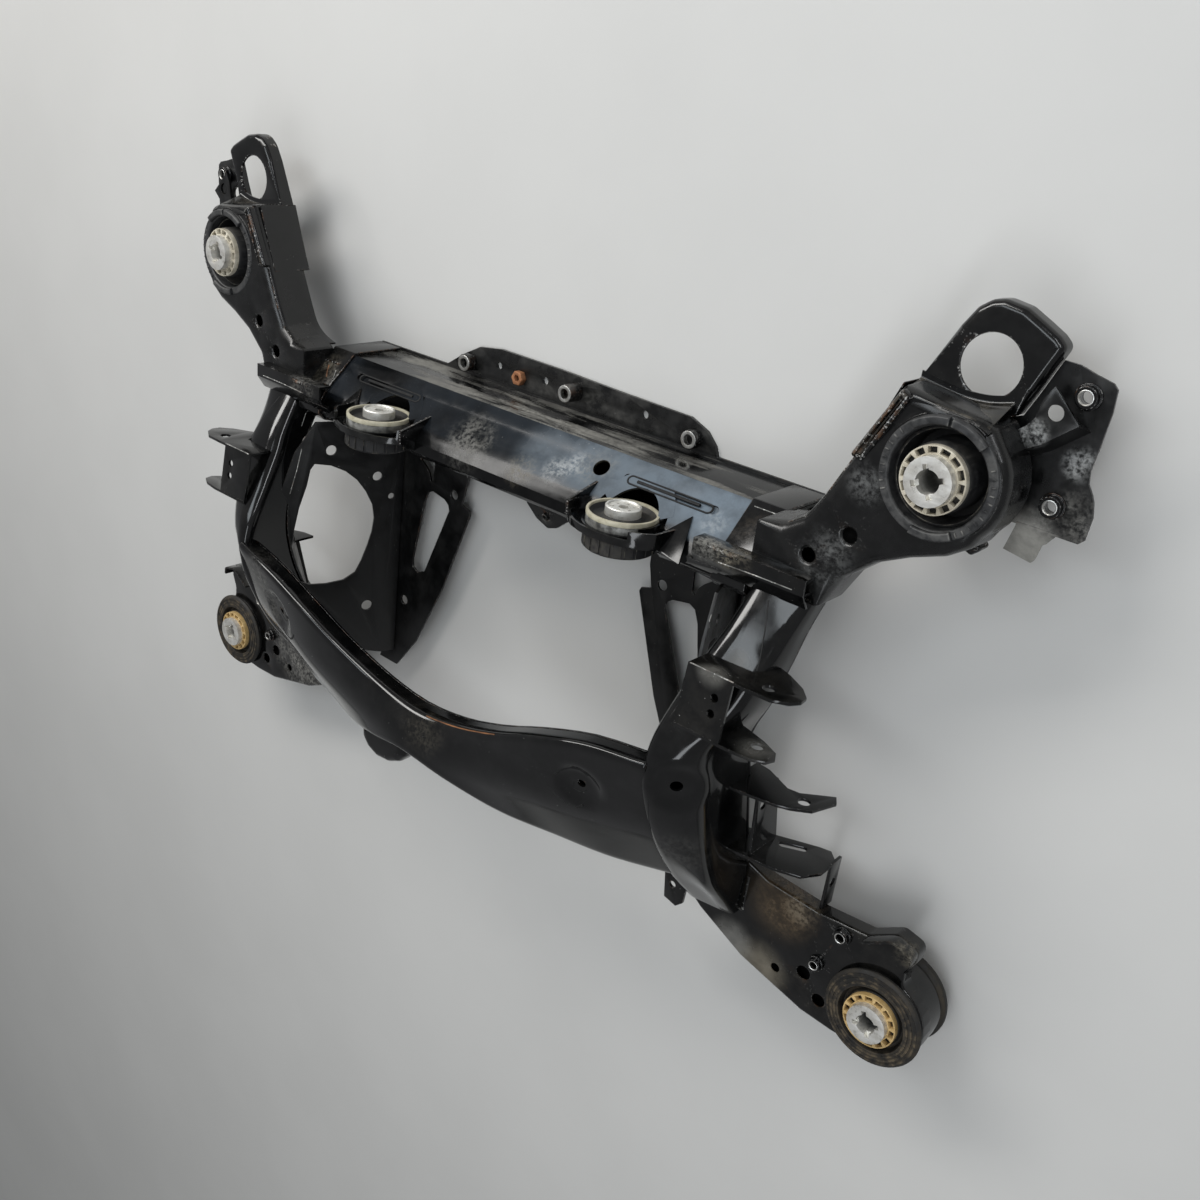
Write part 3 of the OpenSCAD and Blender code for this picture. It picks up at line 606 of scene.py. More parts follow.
def mark_edges(mesh: bpy.types.Mesh, low: float = 20.0, high: float = 30.0, broad: float = 1.6) -> None:
    """Stores where the outer edges of a mesh are worn.

    Args:
        mesh: The mesh to mark.
        low: Fold angle in degrees below which there is no wear.
        high: Fold angle in degrees of full wear.
        broad: Width in millimetres from which a face's corners stay unworn.
    """
    bm = bmesh.new()
    bm.from_mesh(mesh)
    worn = [0.0] * len(bm.verts)
    for edge in bm.edges:
        if len(edge.link_faces) != 2:
            continue
        angle = math.degrees(edge.calc_face_angle_signed(0.0))
        value = min(max((angle - low) / (high - low), 0.0), 1.0)
        for vert in edge.verts:
            worn[vert.index] = max(worn[vert.index], value)
    for face in bm.faces:
        if 2 * face.calc_area() > broad * MM * face.calc_perimeter():
            for vert in face.verts:
                worn[vert.index] = 0.0
    bm.free()
    layer = mesh.attributes.get(EDGE) or mesh.attributes.new(EDGE, "FLOAT", "POINT")
    layer.data.foreach_set("value", worn)


def flatten(piece: bpy.types.Object) -> None:
    """Applies a piece's modifiers, so that it is a plain mesh."""
    graph = bpy.context.evaluated_depsgraph_get()
    mesh = bpy.data.meshes.new_from_object(piece.evaluated_get(graph))
    old = piece.data
    piece.modifiers.clear()
    piece.data = mesh
    bpy.data.meshes.remove(old)
    mesh.name = piece.name


def raw_piece(name: str, bm: bmesh.types.BMesh) -> bpy.types.Object:
    """Turns a bmesh into an object at the origin.

    Args:
        name: The piece's name.
        bm: The mesh in the row frame, in metres; it is freed.

    Returns:
        The new object.
    """
    mesh = bpy.data.meshes.new(name)
    bm.to_mesh(mesh)
    bm.free()
    piece = bpy.data.objects.new(name, mesh)
    bpy.context.scene.collection.objects.link(piece)
    return piece


def merge(piece: bpy.types.Object, bm: bmesh.types.BMesh) -> None:
    """Adds a bmesh to a piece's mesh and frees it."""
    extra = bpy.data.meshes.new("extra")
    bm.to_mesh(extra)
    bm.free()
    whole = bmesh.new()
    whole.from_mesh(piece.data)
    whole.from_mesh(extra)
    bpy.data.meshes.remove(extra)
    whole.to_mesh(piece.data)
    whole.free()


def from_line(p: Vector, a: Vector, b: Vector) -> float:
    """The distance of a point from the line between two others."""
    along = b - a
    t = min(max((p - a).dot(along) / along.length_squared, 0.0), 1.0)
    return (p - a - along * t).length


def rounded_outline(points: Sequence[Sequence[float]], radius: float, steps: int = 5) -> list[Vector]:
    """Rounds the corners of a closed outline.

    Args:
        points: The outline's corners, each with its own radius as third number, if it has one.
        radius: Radius of the other corners, less where the sides are short.
        steps: Points on each corner.

    Returns:
        The rounded outline.
    """
    ring: list[Vector] = []
    count = len(points)
    for i in range(count):
        a, b, c = (Vector(points[(i + k) % count][:2]) for k in (-1, 0, 1))
        u, v = (a - b), (c - b)
        half = max(u.angle(v) / 2, 0.05)
        own = points[i][2] if len(points[i]) > 2 else radius
        reach = min(own / math.tan(half), 0.48 * u.length, 0.48 * v.length)
        p, q = b + u.normalized() * reach, b + v.normalized() * reach
        for k in range(steps):
            t = k / (steps - 1)
            ring.append((1 - t) ** 2 * p + 2 * t * (1 - t) * b + t * t * q)
    clean = [ring[0]]
    for p in ring[1:]:
        if (p - clean[-1]).length > 0.05:
            clean.append(p)
    return clean


def inset(ring: Sequence[Vector], depth: float, shares: Sequence[float] | None = None) -> list[Vector]:
    """Moves a closed outline inwards.

    Args:
        ring: The outline, counter-clockwise.
        depth: Distance inwards.
        shares: Share of the distance at each point, all of it if left out.

    Returns:
        The moved outline.
    """
    count = len(ring)
    parts = shares or [1.0] * count
    moved: list[Vector] = []
    for i in range(count):
        a, b, c = ring[i - 1], ring[i], ring[(i + 1) % count]
        e, f = (b - a).normalized(), (c - b).normalized()
        n = Vector((-e.y, e.x)) + Vector((-f.y, f.x))
        k = max(1 + e.dot(f), 0.4)
        moved.append(b + n * (parts[i] * depth / k))
    return moved


def circle(x: float, y: float, radius: float, count: int = 40) -> list[Vector]:
    """Points of a circle, counter-clockwise."""
    turns = [2 * math.pi * i / count for i in range(count)]
    return [Vector((x + radius * math.cos(a), y + radius * math.sin(a))) for a in turns]


def bridge(bm: bmesh.types.BMesh, low: Sequence[bmesh.types.BMVert], high: Sequence[bmesh.types.BMVert],
           closed: bool = True) -> None:
    """Joins two rows of points with quads.

    Args:
        bm: The mesh.
        low: First row.
        high: Second row, with as many points.
        closed: Whether the rows are rings.
    """
    count = len(low)
    for i in range(count if closed else count - 1):
        j = (i + 1) % count
        bm.faces.new((low[i], low[j], high[j], high[i]))


def close_run(bm: bmesh.types.BMesh, rings: Sequence[Sequence[bmesh.types.BMVert]]) -> None:
    """Joins a run of rings into a closed body with capped ends.

    Args:
        bm: The mesh.
        rings: The rings in order, each with as many points.
    """
    for low, high in zip(rings, rings[1:]):
        bridge(bm, low, high)
    bm.faces.new(rings[0])
    bm.faces.new(rings[-1][::-1])
    bmesh.ops.recalc_face_normals(bm, faces=bm.faces)


def face_up(bm: bmesh.types.BMesh) -> None:
    """Turns the faces of an open sheet so that most of it looks up."""
    bmesh.ops.recalc_face_normals(bm, faces=bm.faces)
    if sum(f.normal.z * f.calc_area() for f in bm.faces) < 0:
        bmesh.ops.reverse_faces(bm, faces=bm.faces)


def thicken(piece: bpy.types.Object, wall: float) -> None:
    """Gives a surface its sheet thickness, inwards.

    Args:
        piece: The surface.
        wall: Sheet thickness in millimetres.
    """
    sheet = piece.modifiers.new("sheet", "SOLIDIFY")
    sheet.thickness = wall * MM
    sheet.offset = -1.0
    flatten(piece)


def catmull(p: Sequence[Sequence[float]], steps: int) -> list[list[float]]:
    """Smooth interpolation of equally long rows of numbers.

    Args:
        p: The rows.
        steps: Parts between two rows.

    Returns:
        The finer rows.
    """
    last = len(p) - 1
    fine: list[list[float]] = []
    for i in range(last):
        p0, p1, p2, p3 = p[max(i - 1, 0)], p[i], p[i + 1], p[min(i + 2, last)]
        for k in range(steps):
            t = k / steps
            fine.append([0.5 * (2 * b + (c - a) * t + (2 * a - 5 * b + 4 * c - d) * t * t
                                + (3 * b - a - 3 * c + d) * t ** 3) for a, b, c, d in zip(p0, p1, p2, p3)])
    fine.append(list(p[last]))
    return fine


def bend(a: Vector, b: Vector, c: Vector, radius: float, steps: int = 6) -> list[Vector]:
    """A rounded corner at b between the lines to a and to c."""
    p = b + (a - b).normalized() * min(radius, 0.45 * (a - b).length)
    q = b + (c - b).normalized() * min(radius, 0.45 * (c - b).length)
    return [(1 - t) ** 2 * p + 2 * t * (1 - t) * b + t * t * q for t in (k / steps for k in range(steps + 1))]


@dataclass
class Works:
    """What every sub-assembly needs: the CAD nodes and the finishes."""

    nodes: dict[str, bpy.types.Object]
    shop: FinishShop

    def keep(self, piece: bpy.types.Object, finish: Finish, stands_for: Iterable[str] = (),
             smooth: float = 40.0) -> bpy.types.Object:
        """Finishes a piece: shading, worn edges, material, its body and the CAD nodes that it hides.

        Args:
            piece: The piece, a plain mesh in the row frame.
            finish: Its finish.
            stands_for: CAD nodes that it replaces.
            smooth: Fold angle in degrees up to which shading is smooth.

        Returns:
            The piece.
        """
        mesh = piece.data
        mesh.polygons.foreach_set("use_smooth", [True] * len(mesh.polygons))
        mesh.set_sharp_from_angle(angle=math.radians(smooth))
        mark_edges(mesh)
        mesh.materials.clear()
        mesh.materials.append(self.shop.material(finish))
        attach(piece, BODY)
        names = list(stands_for)
        if names:
            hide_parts(*names)
        LOG.info("%s: %d faces, %s", piece.name, len(mesh.polygons), finish.name)
        return piece

    def rounded(self, node: str, finish: Finish, fold: float) -> None:
        """Makes a copy of a CAD node with rounded edges, which stands for it.

        Args:
            node: The CAD node.
            finish: The copy's finish.
            fold: Width of the rounding in millimetres.
        """
        bm = bmesh.new()
        bm.from_mesh(self.nodes[node].data)
        bmesh.ops.remove_doubles(bm, verts=bm.verts, dist=JOIN_GAP)
        bmesh.ops.dissolve_limit(bm, angle_limit=math.radians(FLAT_FOLD), verts=bm.verts, edges=bm.edges)
        piece = raw_piece(f"{node}_skin", bm)
        softened(piece, fold, FOLD_PARTS, SHARP_FOLD)
        self.keep(piece, finish, (node,), COPY_SMOOTH)


@dataclass(frozen=True)
class Softbox:
    """A rectangular studio light that looks at the subframe; glossy surfaces show a mirrored one."""

    name: str
    way: Point
    distance: float
    size: Flat
    power: float
    colour: Colour
    mirrored: bool = True
    aim_height: float = 0.1

    def place(self) -> None:
        """Adds the light to the scene."""
        data = bpy.data.lights.new(self.name, "AREA")
        data.shape = "RECTANGLE"
        data.size, data.size_y = self.size
        data.energy = self.power
        data.color = self.colour
        lamp = bpy.data.objects.new(self.name, data)
        lamp.visible_glossy = self.mirrored
        bpy.context.scene.collection.objects.link(lamp)
        aim = Vector(self.way).normalized()
        lamp.location = aim * self.distance + Vector((0.0, 0.0, self.aim_height))
        lamp.rotation_mode = "QUATERNION"
        lamp.rotation_quaternion = (-aim).to_track_quat("-Z", "Y")


@dataclass
class Studio:
    """Camera, lights and floor."""

    focal_px: float = 1203.0
    frame_px: float = 1200.0
    sensor: float = 36.0
    right: Point = (0.7552006693902449, 0.11646635931514665, -0.6450639783001383)
    down: Point = (0.34704612063194296, -0.9058893598719255, 0.24274154532166908)
    ahead: Point = (-0.5560853703406023, -0.4071855287442178, -0.7245474491532262)
    stand: Point = (822.93, 263.32, 855.72)
    clip_end: float = 100.0
    floor_half: float = 12.0
    floor_drop: float = 0.0004
    floor_colour: Colour = (0.56, 0.555, 0.54)
    floor_shade: float = 0.96
    floor_rough: float = 0.75
    world_light: float = 0.26
    world_pale: float = 0.26
    sky: Colour = (0.95, 0.98, 1.0)
    backdrop: Colour = (0.97, 0.98, 1.0)
    lights: Sequence[Softbox] = (
        Softbox("key_rear", (-0.50, 0.80, 0.62), 2.6, (2.4, 0.6), 50.0, (1.0, 0.985, 0.96)),
        Softbox("sky_rear", (0.10, 0.50, 0.86), 2.4, (1.9, 0.50), 13.0, (0.88, 0.95, 1.0)),
        Softbox("strip_back", (0.62, 0.62, 0.48), 2.4, (1.4, 0.16), 7.0, (0.95, 0.97, 1.0)),
        Softbox("strip_right", (0.56, -0.16, 0.78), 2.4, (1.7, 0.34), 9.0, (0.92, 0.96, 1.0)),
        Softbox("fill_top", (0.35, -0.25, 1.0), 2.4, (1.6, 1.6), 10.0, (0.97, 0.98, 1.0), False))

    def camera(self) -> None:
        """Places the camera at the photograph's viewpoint."""
        data = bpy.data.cameras.new("camera")
        data.sensor_width = self.sensor
        data.lens = self.focal_px * self.sensor / self.frame_px
        data.clip_end = self.clip_end
        camera = bpy.data.objects.new("camera", data)
        bpy.context.scene.collection.objects.link(camera)
        axes = Matrix((Vector(self.right), -Vector(self.down), -Vector(self.ahead))).transposed()
        camera.matrix_world = Matrix.Translation(row(*self.stand)) @ axes.to_4x4()
        bpy.context.scene.camera = camera

    def floor(self) -> None:
        """Makes the plain pale floor."""
        bm = bmesh.new()
        half = self.floor_half
        corners = ((-half, -half), (half, -half), (half, half), (-half, half))
        bm.faces.new([bm.verts.new((x, y, -self.floor_drop)) for x, y in corners])
        floor = raw_piece("floor", bm)
        t = Tree("floor_pale")
        t.put(t.shader.inputs["Base Color"],
              t.blend(t.ramp(t.noise(3.0, 5.0), 0.3, 0.7), self.floor_colour,
                      tuple(self.floor_shade * c for c in self.floor_colour)))
        t.shader.inputs["Roughness"].default_value = self.floor_rough
        t.bump(t.noise(300.0, 3.0), 0.05, 0.0005)
        floor.data.materials.append(t.material)

    def world(self) -> None:
        """Sets the sky light, and the pale backdrop that the camera and reflections see."""
        world = bpy.data.worlds.new("studio")
        bpy.context.scene.world = world
        world.use_nodes = True
        nodes, links = world.node_tree.nodes, world.node_tree.links
        nodes.clear()
        out = nodes.new("ShaderNodeOutputWorld")
        mix = nodes.new("ShaderNodeMixShader")
        light, pale = nodes.new("ShaderNodeBackground"), nodes.new("ShaderNodeBackground")
        light.inputs["Color"].default_value = (*self.sky, 1.0)
        light.inputs["Strength"].default_value = self.world_light
        pale.inputs["Color"].default_value = (*self.backdrop, 1.0)
        pale.inputs["Strength"].default_value = self.world_pale
        path = nodes.new("ShaderNodeLightPath")
        share: bpy.types.NodeSocket = path.outputs["Is Camera Ray"]
        for ray in ("Is Glossy Ray", "Is Transmission Ray"):
            both = nodes.new("ShaderNodeMath")
            both.operation = "MAXIMUM"
            links.new(share, both.inputs[0])
            links.new(path.outputs[ray], both.inputs[1])
            share = both.outputs[0]
        links.new(share, mix.inputs[0])
        links.new(light.outputs[0], mix.inputs[1])
        links.new(pale.outputs[0], mix.inputs[2])
        links.new(mix.outputs[0], out.inputs["Surface"])

    def build(self) -> None:
        """Sets up camera, lights, floor and view."""
        self.camera()
        self.world()
        self.floor()
        for light in self.lights:
            light.place()
        bpy.context.scene.view_settings.view_transform = "Standard"


@dataclass(frozen=True)
class Hole:
    """A round hole in a tray's top, with an optional turned-down lip."""

    x: float
    y: float
    d: float
    lip: float = 0.0


@dataclass
class Tray:
    """A pressed tray: flat top with a rounded edge and hanging walls."""

    name: str
    outline: Sequence[Sequence[float]]
    top: float
    low: float
    side: Side
    wall: float = 3.0
    edge: float = 7.0
    corner: float = 9.0
    draft: float = 0.0
    holes: Sequence[Hole] = ()
    butts: Sequence[tuple[Flat, Flat]] = ()
    blend: float = 14.0
    steps: int = 6
    lip_round: float = 0.3
    lip_fall: float = 1.2

    def softness(self, p: Vector) -> float:
        """How far the edge is rounded at a point: not at all where the tray butts against a neighbour."""
        return min([1.0, *(from_line(p, Vector(a), Vector(b)) / self.blend for a, b in self.butts)])

    def build(self) -> bpy.types.Object:
        """Builds the tray as a closed sheet.

        Returns:
            The raw piece.
        """
        bm = bmesh.new()
        ring = rounded_outline(self.outline, self.corner)

        def put(points: Sequence[Vector], z: float) -> list[bmesh.types.BMVert]:
            """Adds a row of points at one height."""
            return [bm.verts.new(row(p.x, p.y, z)) for p in points]

        soft = [self.softness(p) for p in ring]
        rows = [put(inset(ring, -self.draft, soft), self.low), put(ring, self.top - self.edge)]
        for k in range(1, self.steps + 1):
            turn = math.pi / 2 * k / self.steps
            rows.append(put(inset(ring, self.edge * (1 - math.cos(turn)), soft),
                            self.top - self.edge + self.edge * math.sin(turn)))
        for low, high in zip(rows, rows[1:]):
            bridge(bm, low, high)
        loops = [rows[-1]]
        for hole in self.holes:
            rim = put(circle(hole.x, hole.y, hole.d / 2 + hole.lip), self.top)
            loops.append(rim)
            if hole.lip:
                turned = self.lip_round * hole.lip
                mid = put(circle(hole.x, hole.y, hole.d / 2 + turned), self.top - turned)
                foot = put(circle(hole.x, hole.y, hole.d / 2), self.top - self.lip_fall * hole.lip)
                bridge(bm, rim, mid)
                bridge(bm, mid, foot)
        edges = []
        for loop in loops:
            for i, vert in enumerate(loop):
                other = loop[(i + 1) % len(loop)]
                edges.append(bm.edges.get((vert, other)) or bm.edges.new((vert, other)))
        bmesh.ops.triangle_fill(bm, use_beauty=True, use_dissolve=False, edges=edges, normal=(0, 0, 1))
        if self.side is Side.LEFT:
            bmesh.ops.scale(bm, vec=(-1, 1, 1), verts=bm.verts)
        bmesh.ops.recalc_face_normals(bm, faces=bm.faces)
        peak = max(bm.faces, key=lambda f: f.calc_center_median().z)
        if peak.normal.z < 0:
            bmesh.ops.reverse_faces(bm, faces=bm.faces)
        piece = raw_piece(self.name, bm)
        thicken(piece, self.wall)
        LOG.info("%s: outline of %d points", self.name, len(ring))
        return piece


@dataclass(frozen=True)
class Pocket:
    """A shallow round dent pressed into a sheet, with a drilled hole, if any.

    Its slope is the share of the radius that is not flat, and its reach keeps the far wall as it is.
    """

    at: Point
    radius: float
    depth: float
    hole: float = 0.0
    slope: float = 0.45
    reach: float = 20.0


def drill(piece: bpy.types.Object, cuts: Sequence[tuple[Vector, Vector, float]], depth: float = 0.03) -> None:
    """Cuts round holes through a piece.

    Args:
        piece: A closed mesh in the row frame.
        cuts: Middle, axis and diameter of each hole, in metres.
        depth: Length of the cutter on both sides of the middle.
    """
    bm = bmesh.new()
    for middle, axis, diameter in cuts:
        place = Matrix.Translation(middle) @ axis.to_track_quat("Z", "Y").to_matrix().to_4x4()
        bmesh.ops.create_cone(bm, cap_ends=True, segments=DRILL_SIDES, radius1=diameter / 2,
                              radius2=diameter / 2, depth=2 * depth, matrix=place)
    carve(piece, bm)


def carve(piece: bpy.types.Object, bm: bmesh.types.BMesh) -> None:
    """Cuts a closed bmesh out of a piece and frees it."""
    cutter = raw_piece(f"{piece.name}_cutter", bm)
    cut = piece.modifiers.new("cut", "BOOLEAN")
    cut.operation = "DIFFERENCE"
    cut.solver = "EXACT"
    cut.object = cutter
    flatten(piece)
    bpy.data.objects.remove(cutter)


@dataclass
class Pressing:
    """A lofted pressing. Each station holds inner crease, top line, outer crease and two wall ends."""

    name: str
    stations: Sequence[Sequence[float]]
    side: Side = Side.RIGHT
    fine: int = 10
    crease: float = 9.0
    ridge: float = 14.0
    wall: float = 3.0
    across: int = 10
    foot: float = -1000.0
    sink: float = 0.25
    pockets: Sequence[Pocket] = ()

    def section(self, s: Sequence[float]) -> list[Vector]:
        """The outer line of one station, from the inner wall's end to the outer one's.

        Args:
            s: The station's eleven numbers.

        Returns:
            Its points in the work frame.
        """
        i, m, e = Vector(s[0:3]), Vector(s[3:6]), Vector(s[6:9])
        a, b = Vector((s[0], s[1], max(s[9], self.foot))), Vector((s[6], s[7], max(s[10], self.foot)))
        line = [a.lerp(i, k / 5) for k in range(3)]
        parts = [bend(a, i, m, self.crease), bend(i, m, e, self.ridge), bend(m, e, b, self.crease)]
        for part in parts:
            start = line[-1]
            count = self.across if part is not parts[0] else 2
            line += [start.lerp(part[0], (k + 1) / (count + 1)) for k in range(count)]
            line += part
        start = line[-1]
        line += [start.lerp(b, (k + 1) / 3) for k in range(3)]
        return line

    def build(self) -> bpy.types.Object:
        """Builds the pressing as a closed sheet with its pockets and holes.

        Returns:
            The raw piece.
        """
        bm = bmesh.new()
        rows = [[bm.verts.new(self.side.row(p.x, p.y, p.z - self.sink)) for p in self.section(s)]
                for s in catmull(self.stations, self.fine)]
        for low, high in zip(rows, rows[1:]):
            bridge(bm, low, high, closed=False)
        face_up(bm)
        bm.normal_update()
        cuts = []
        for pocket in self.pockets:
            middle = self.side.row(*pocket.at)
            close = min(bm.verts, key=lambda v: (v.co - middle).length)
            way = close.normal.copy()
            if pocket.hole:
                cuts.append((close.co.copy(), way, pocket.hole * MM))
            for vert in bm.verts:
                off = vert.co - close.co
                far = (off - way * off.dot(way)).length / (pocket.radius * MM)
                if far < 1.0 and abs(off.dot(way)) < pocket.reach * MM:
                    share = min(1.0, (1.0 - far) / pocket.slope)
                    vert.co -= way * (pocket.depth * MM * share * share * (3 - 2 * share))
        piece = raw_piece(self.name, bm)
        thicken(piece, self.wall)
        if cuts:
            drill(piece, cuts)
        return piece


class BeadTree:
    """Geometry Nodes tree that runs a rippled weld bead along a path."""

    roughness: float = 260.0
    sides: int = 8
    step: float = 1.1

    def __init__(self, material: bpy.types.Material) -> None:
        """Builds the tree.

        Args:
            material: The bead's material.
        """
        self.tree = bpy.data.node_groups.new("weld_bead", "GeometryNodeTree")
        face = self.tree.interface
        face.new_socket("Path", in_out="INPUT", socket_type="NodeSocketGeometry")
        self.inputs: dict[str, str] = {}
        for name in ("Radius", "Step", "Ripple", "Pitch"):
            socket = face.new_socket(name, in_out="INPUT", socket_type="NodeSocketFloat")
            self.inputs[name] = socket.identifier
        face.new_socket("Bead", in_out="OUTPUT", socket_type="NodeSocketGeometry")
        add, link = self.tree.nodes.new, self.tree.links.new
        given, out = add("NodeGroupInput"), add("NodeGroupOutput")
        curve, fine = add("GeometryNodeMeshToCurve"), add("GeometryNodeResampleCurve")
        fine.mode = "LENGTH"
        link(given.outputs["Path"], curve.inputs["Mesh"])
        link(curve.outputs[0], fine.inputs["Curve"])
        link(given.outputs["Step"], fine.inputs["Length"])
        spline = add("GeometryNodeSplineParameter")
        turns = self.node("DIVIDE", spline.outputs["Length"], given.outputs["Pitch"])
        wave = self.node("SINE", self.node("MULTIPLY", turns, 2 * math.pi), 0.0)
        rough = add("ShaderNodeTexNoise")
        rough.inputs["Scale"].default_value = self.roughness
        mixed = self.node("ADD", wave, self.node("SUBTRACT", rough.outputs[0], 0.5))
        size = self.node("ADD", 1.0, self.node("MULTIPLY", mixed, given.outputs["Ripple"]))
        swell = add("GeometryNodeSetCurveRadius")
        link(fine.outputs[0], swell.inputs["Curve"])
        link(size, swell.inputs["Radius"])
        ring = add("GeometryNodeCurvePrimitiveCircle")
        ring.inputs["Resolution"].default_value = self.sides
        link(given.outputs["Radius"], ring.inputs["Radius"])
        body = add("GeometryNodeCurveToMesh")
        body.inputs["Fill Caps"].default_value = True
        link(swell.outputs[0], body.inputs["Curve"])
        link(ring.outputs[0], body.inputs["Profile Curve"])
        real, dress = add("GeometryNodeRealizeInstances"), add("GeometryNodeSetMaterial")
        dress.inputs["Material"].default_value = material
        link(body.outputs[0], real.inputs[0])
        link(real.outputs[0], dress.inputs["Geometry"])
        link(dress.outputs[0], out.inputs["Bead"])

    def node(self, work: str, a: object, b: object) -> bpy.types.NodeSocket:
        """A math node of the tree.

        Args:
            work: The operation.
            a: First value or socket.
            b: Second value or socket.

        Returns:
            The result's socket.
        """
        node = self.tree.nodes.new("ShaderNodeMath")
        node.operation = work
        for socket, value in zip(node.inputs, (a, b)):
            if isinstance(value, bpy.types.NodeSocket):
                self.tree.links.new(value, socket)
            else:
                socket.default_value = value
        return node.outputs[0]

    def run(self, name: str, paths: Sequence[Sequence[Vector]], radius: float = 2.2, ripple: float = 0.22,
            pitch: float = 3.4) -> bpy.types.Object:
        """Lays beads along paths.

        Args:
            name: The piece's name.
            paths: Lines of points in the row frame.
            radius: Bead radius in millimetres.
            ripple: Share by which the bead swells.
            pitch: Length of one ripple in millimetres.

        Returns:
            The beads as one plain mesh.
        """
        bm = bmesh.new()
        for path in paths:
            verts = [bm.verts.new(p) for p in path]
            for a, b in zip(verts, verts[1:]):
                bm.edges.new((a, b))
        piece = raw_piece(name, bm)
        laid = piece.modifiers.new("bead", "NODES")
        laid.node_group = self.tree
        sizes = {"Radius": radius * MM, "Step": self.step * MM, "Ripple": ripple, "Pitch": pitch * MM}
        for key, value in sizes.items():
            laid[self.inputs[key]] = value
        flatten(piece)
        return piece


class RibTree:
    """Geometry Nodes tree that sets small ribs on points, turned outwards from an axis."""

    def __init__(self, material: bpy.types.Material, name: str) -> None:
        """Builds the tree.

        Args:
            material: The ribs' material.
            name: The tree's name.
        """
        self.tree = bpy.data.node_groups.new(name, "GeometryNodeTree")
        face = self.tree.interface
        face.new_socket("Points", in_out="INPUT", socket_type="NodeSocketGeometry")
        self.size = face.new_socket("Size", in_out="INPUT", socket_type="NodeSocketVector").identifier
        face.new_socket("Ribs", in_out="OUTPUT", socket_type="NodeSocketGeometry")
        add, link = self.tree.nodes.new, self.tree.links.new
        given, out = add("NodeGroupInput"), add("NodeGroupOutput")
        block = add("GeometryNodeMeshCube")
        link(given.outputs["Size"], block.inputs["Size"])
        place = add("GeometryNodeInputPosition")
        flat = add("ShaderNodeVectorMath")
        flat.operation = "MULTIPLY"
        flat.inputs[1].default_value = (1.0, 1.0, 0.0)
        link(place.outputs[0], flat.inputs[0])
        turn = add("FunctionNodeAlignRotationToVector")
        turn.axis = "X"
        link(flat.outputs[0], turn.inputs["Vector"])
        spread = add("GeometryNodeInstanceOnPoints")
        link(given.outputs["Points"], spread.inputs["Points"])
        link(block.outputs["Mesh"], spread.inputs["Instance"])
        link(turn.outputs[0], spread.inputs["Rotation"])
        real, dress = add("GeometryNodeRealizeInstances"), add("GeometryNodeSetMaterial")
        dress.inputs["Material"].default_value = material
        link(spread.outputs[0], real.inputs[0])
        link(real.outputs[0], dress.inputs["Geometry"])
        link(dress.outputs[0], out.inputs["Ribs"])

    def run(self, name: str, points: Sequence[Vector], size: Point, place: Matrix) -> bpy.types.Object:
        """Sets ribs on points.

        Args:
            name: The piece's name.
            points: Points round the local Z axis, in metres.
            size: Length outwards, width and height of a rib, in millimetres.
            place: Matrix from the local axis to the row frame.

        Returns:
            The ribs as one plain mesh.
        """
        bm = bmesh.new()
        for point in points:
            bm.verts.new(point)
        piece = raw_piece(name, bm)
        laid = piece.modifiers.new("ribs", "NODES")
        laid.node_group = self.tree
        laid[self.size] = [c * MM for c in size]
        soften = piece.modifiers.new("soft", "BEVEL")
        soften.width = 0.25 * min(size) * MM
        soften.segments = 1
        flatten(piece)
        piece.data.transform(place)
        return piece


def lathe(bm: bmesh.types.BMesh, profile: Sequence[Flat], start: float = 0.0, end: float = 360.0,
          steps: int = 72) -> None:
    """Turns a closed profile of radius and height round the Z axis, in metres.

    Args:
        bm: The mesh to add to.
        profile: Radius and height of each corner, in millimetres.
        start: First angle in degrees.
        end: Last angle in degrees; a full turn is closed, a part turn is capped.
        steps: Parts of the turn.
    """
    full = end - start >= FULL_TURN
    count = steps if full else steps + 1
    rings = []
    for k in range(count):
        angle = math.radians(start + (end - start) * k / steps)
        cos, sin = math.cos(angle), math.sin(angle)
        rings.append([bm.verts.new((r * MM * cos, r * MM * sin, z * MM)) for r, z in profile])
    for k in range(steps):
        bridge(bm, rings[k], rings[(k + 1) % count])
    if not full:
        bm.faces.new(rings[0])
        bm.faces.new(list(reversed(rings[-1])))
    bmesh.ops.recalc_face_normals(bm, faces=bm.faces)


def softened(piece: bpy.types.Object, width: float, segments: int = 2, angle: float = 30.0) -> None:
    """Rounds a piece's sharp edges.

    Args:
        piece: The piece.
        width: Width of the rounding in millimetres.
        segments: Faces across it.
        angle: Fold angle in degrees from which an edge is rounded.
    """
    bevel = piece.modifiers.new("soft", "BEVEL")
    bevel.limit_method = "ANGLE"
    bevel.angle_limit = math.radians(angle)
    bevel.width = width * MM
    bevel.segments = segments
    flatten(piece)


def upright(name: str, path: Sequence[Flat], low: float, top: float, thick: float,
            side: Side) -> bpy.types.Object:
    """A standing sheet that follows a path.

    Args:
        name: The piece's name.
        path: Its middle line, for the right-hand side.
        low: Height of its foot.
        top: Height of its upper edge.
        thick: Sheet thickness.
        side: The side that it stands on.

    Returns:
        The raw piece.
    """
    line = [Vector(p) for p in catmull(path, 5)]
    bm = bmesh.new()
    rings = []
    for i, p in enumerate(line):
        along = line[min(i + 1, len(line) - 1)] - line[max(i - 1, 0)]
        off = Vector((-along.y, along.x)).normalized() * (thick / 2)
        corners = ((p + off, low), (p - off, low), (p - off, top), (p + off, top))
        rings.append([bm.verts.new(side.row(q.x, q.y, z)) for q, z in corners])
    close_run(bm, rings)
    piece = raw_piece(name, bm)
    softened(piece, 0.8)
    return piece


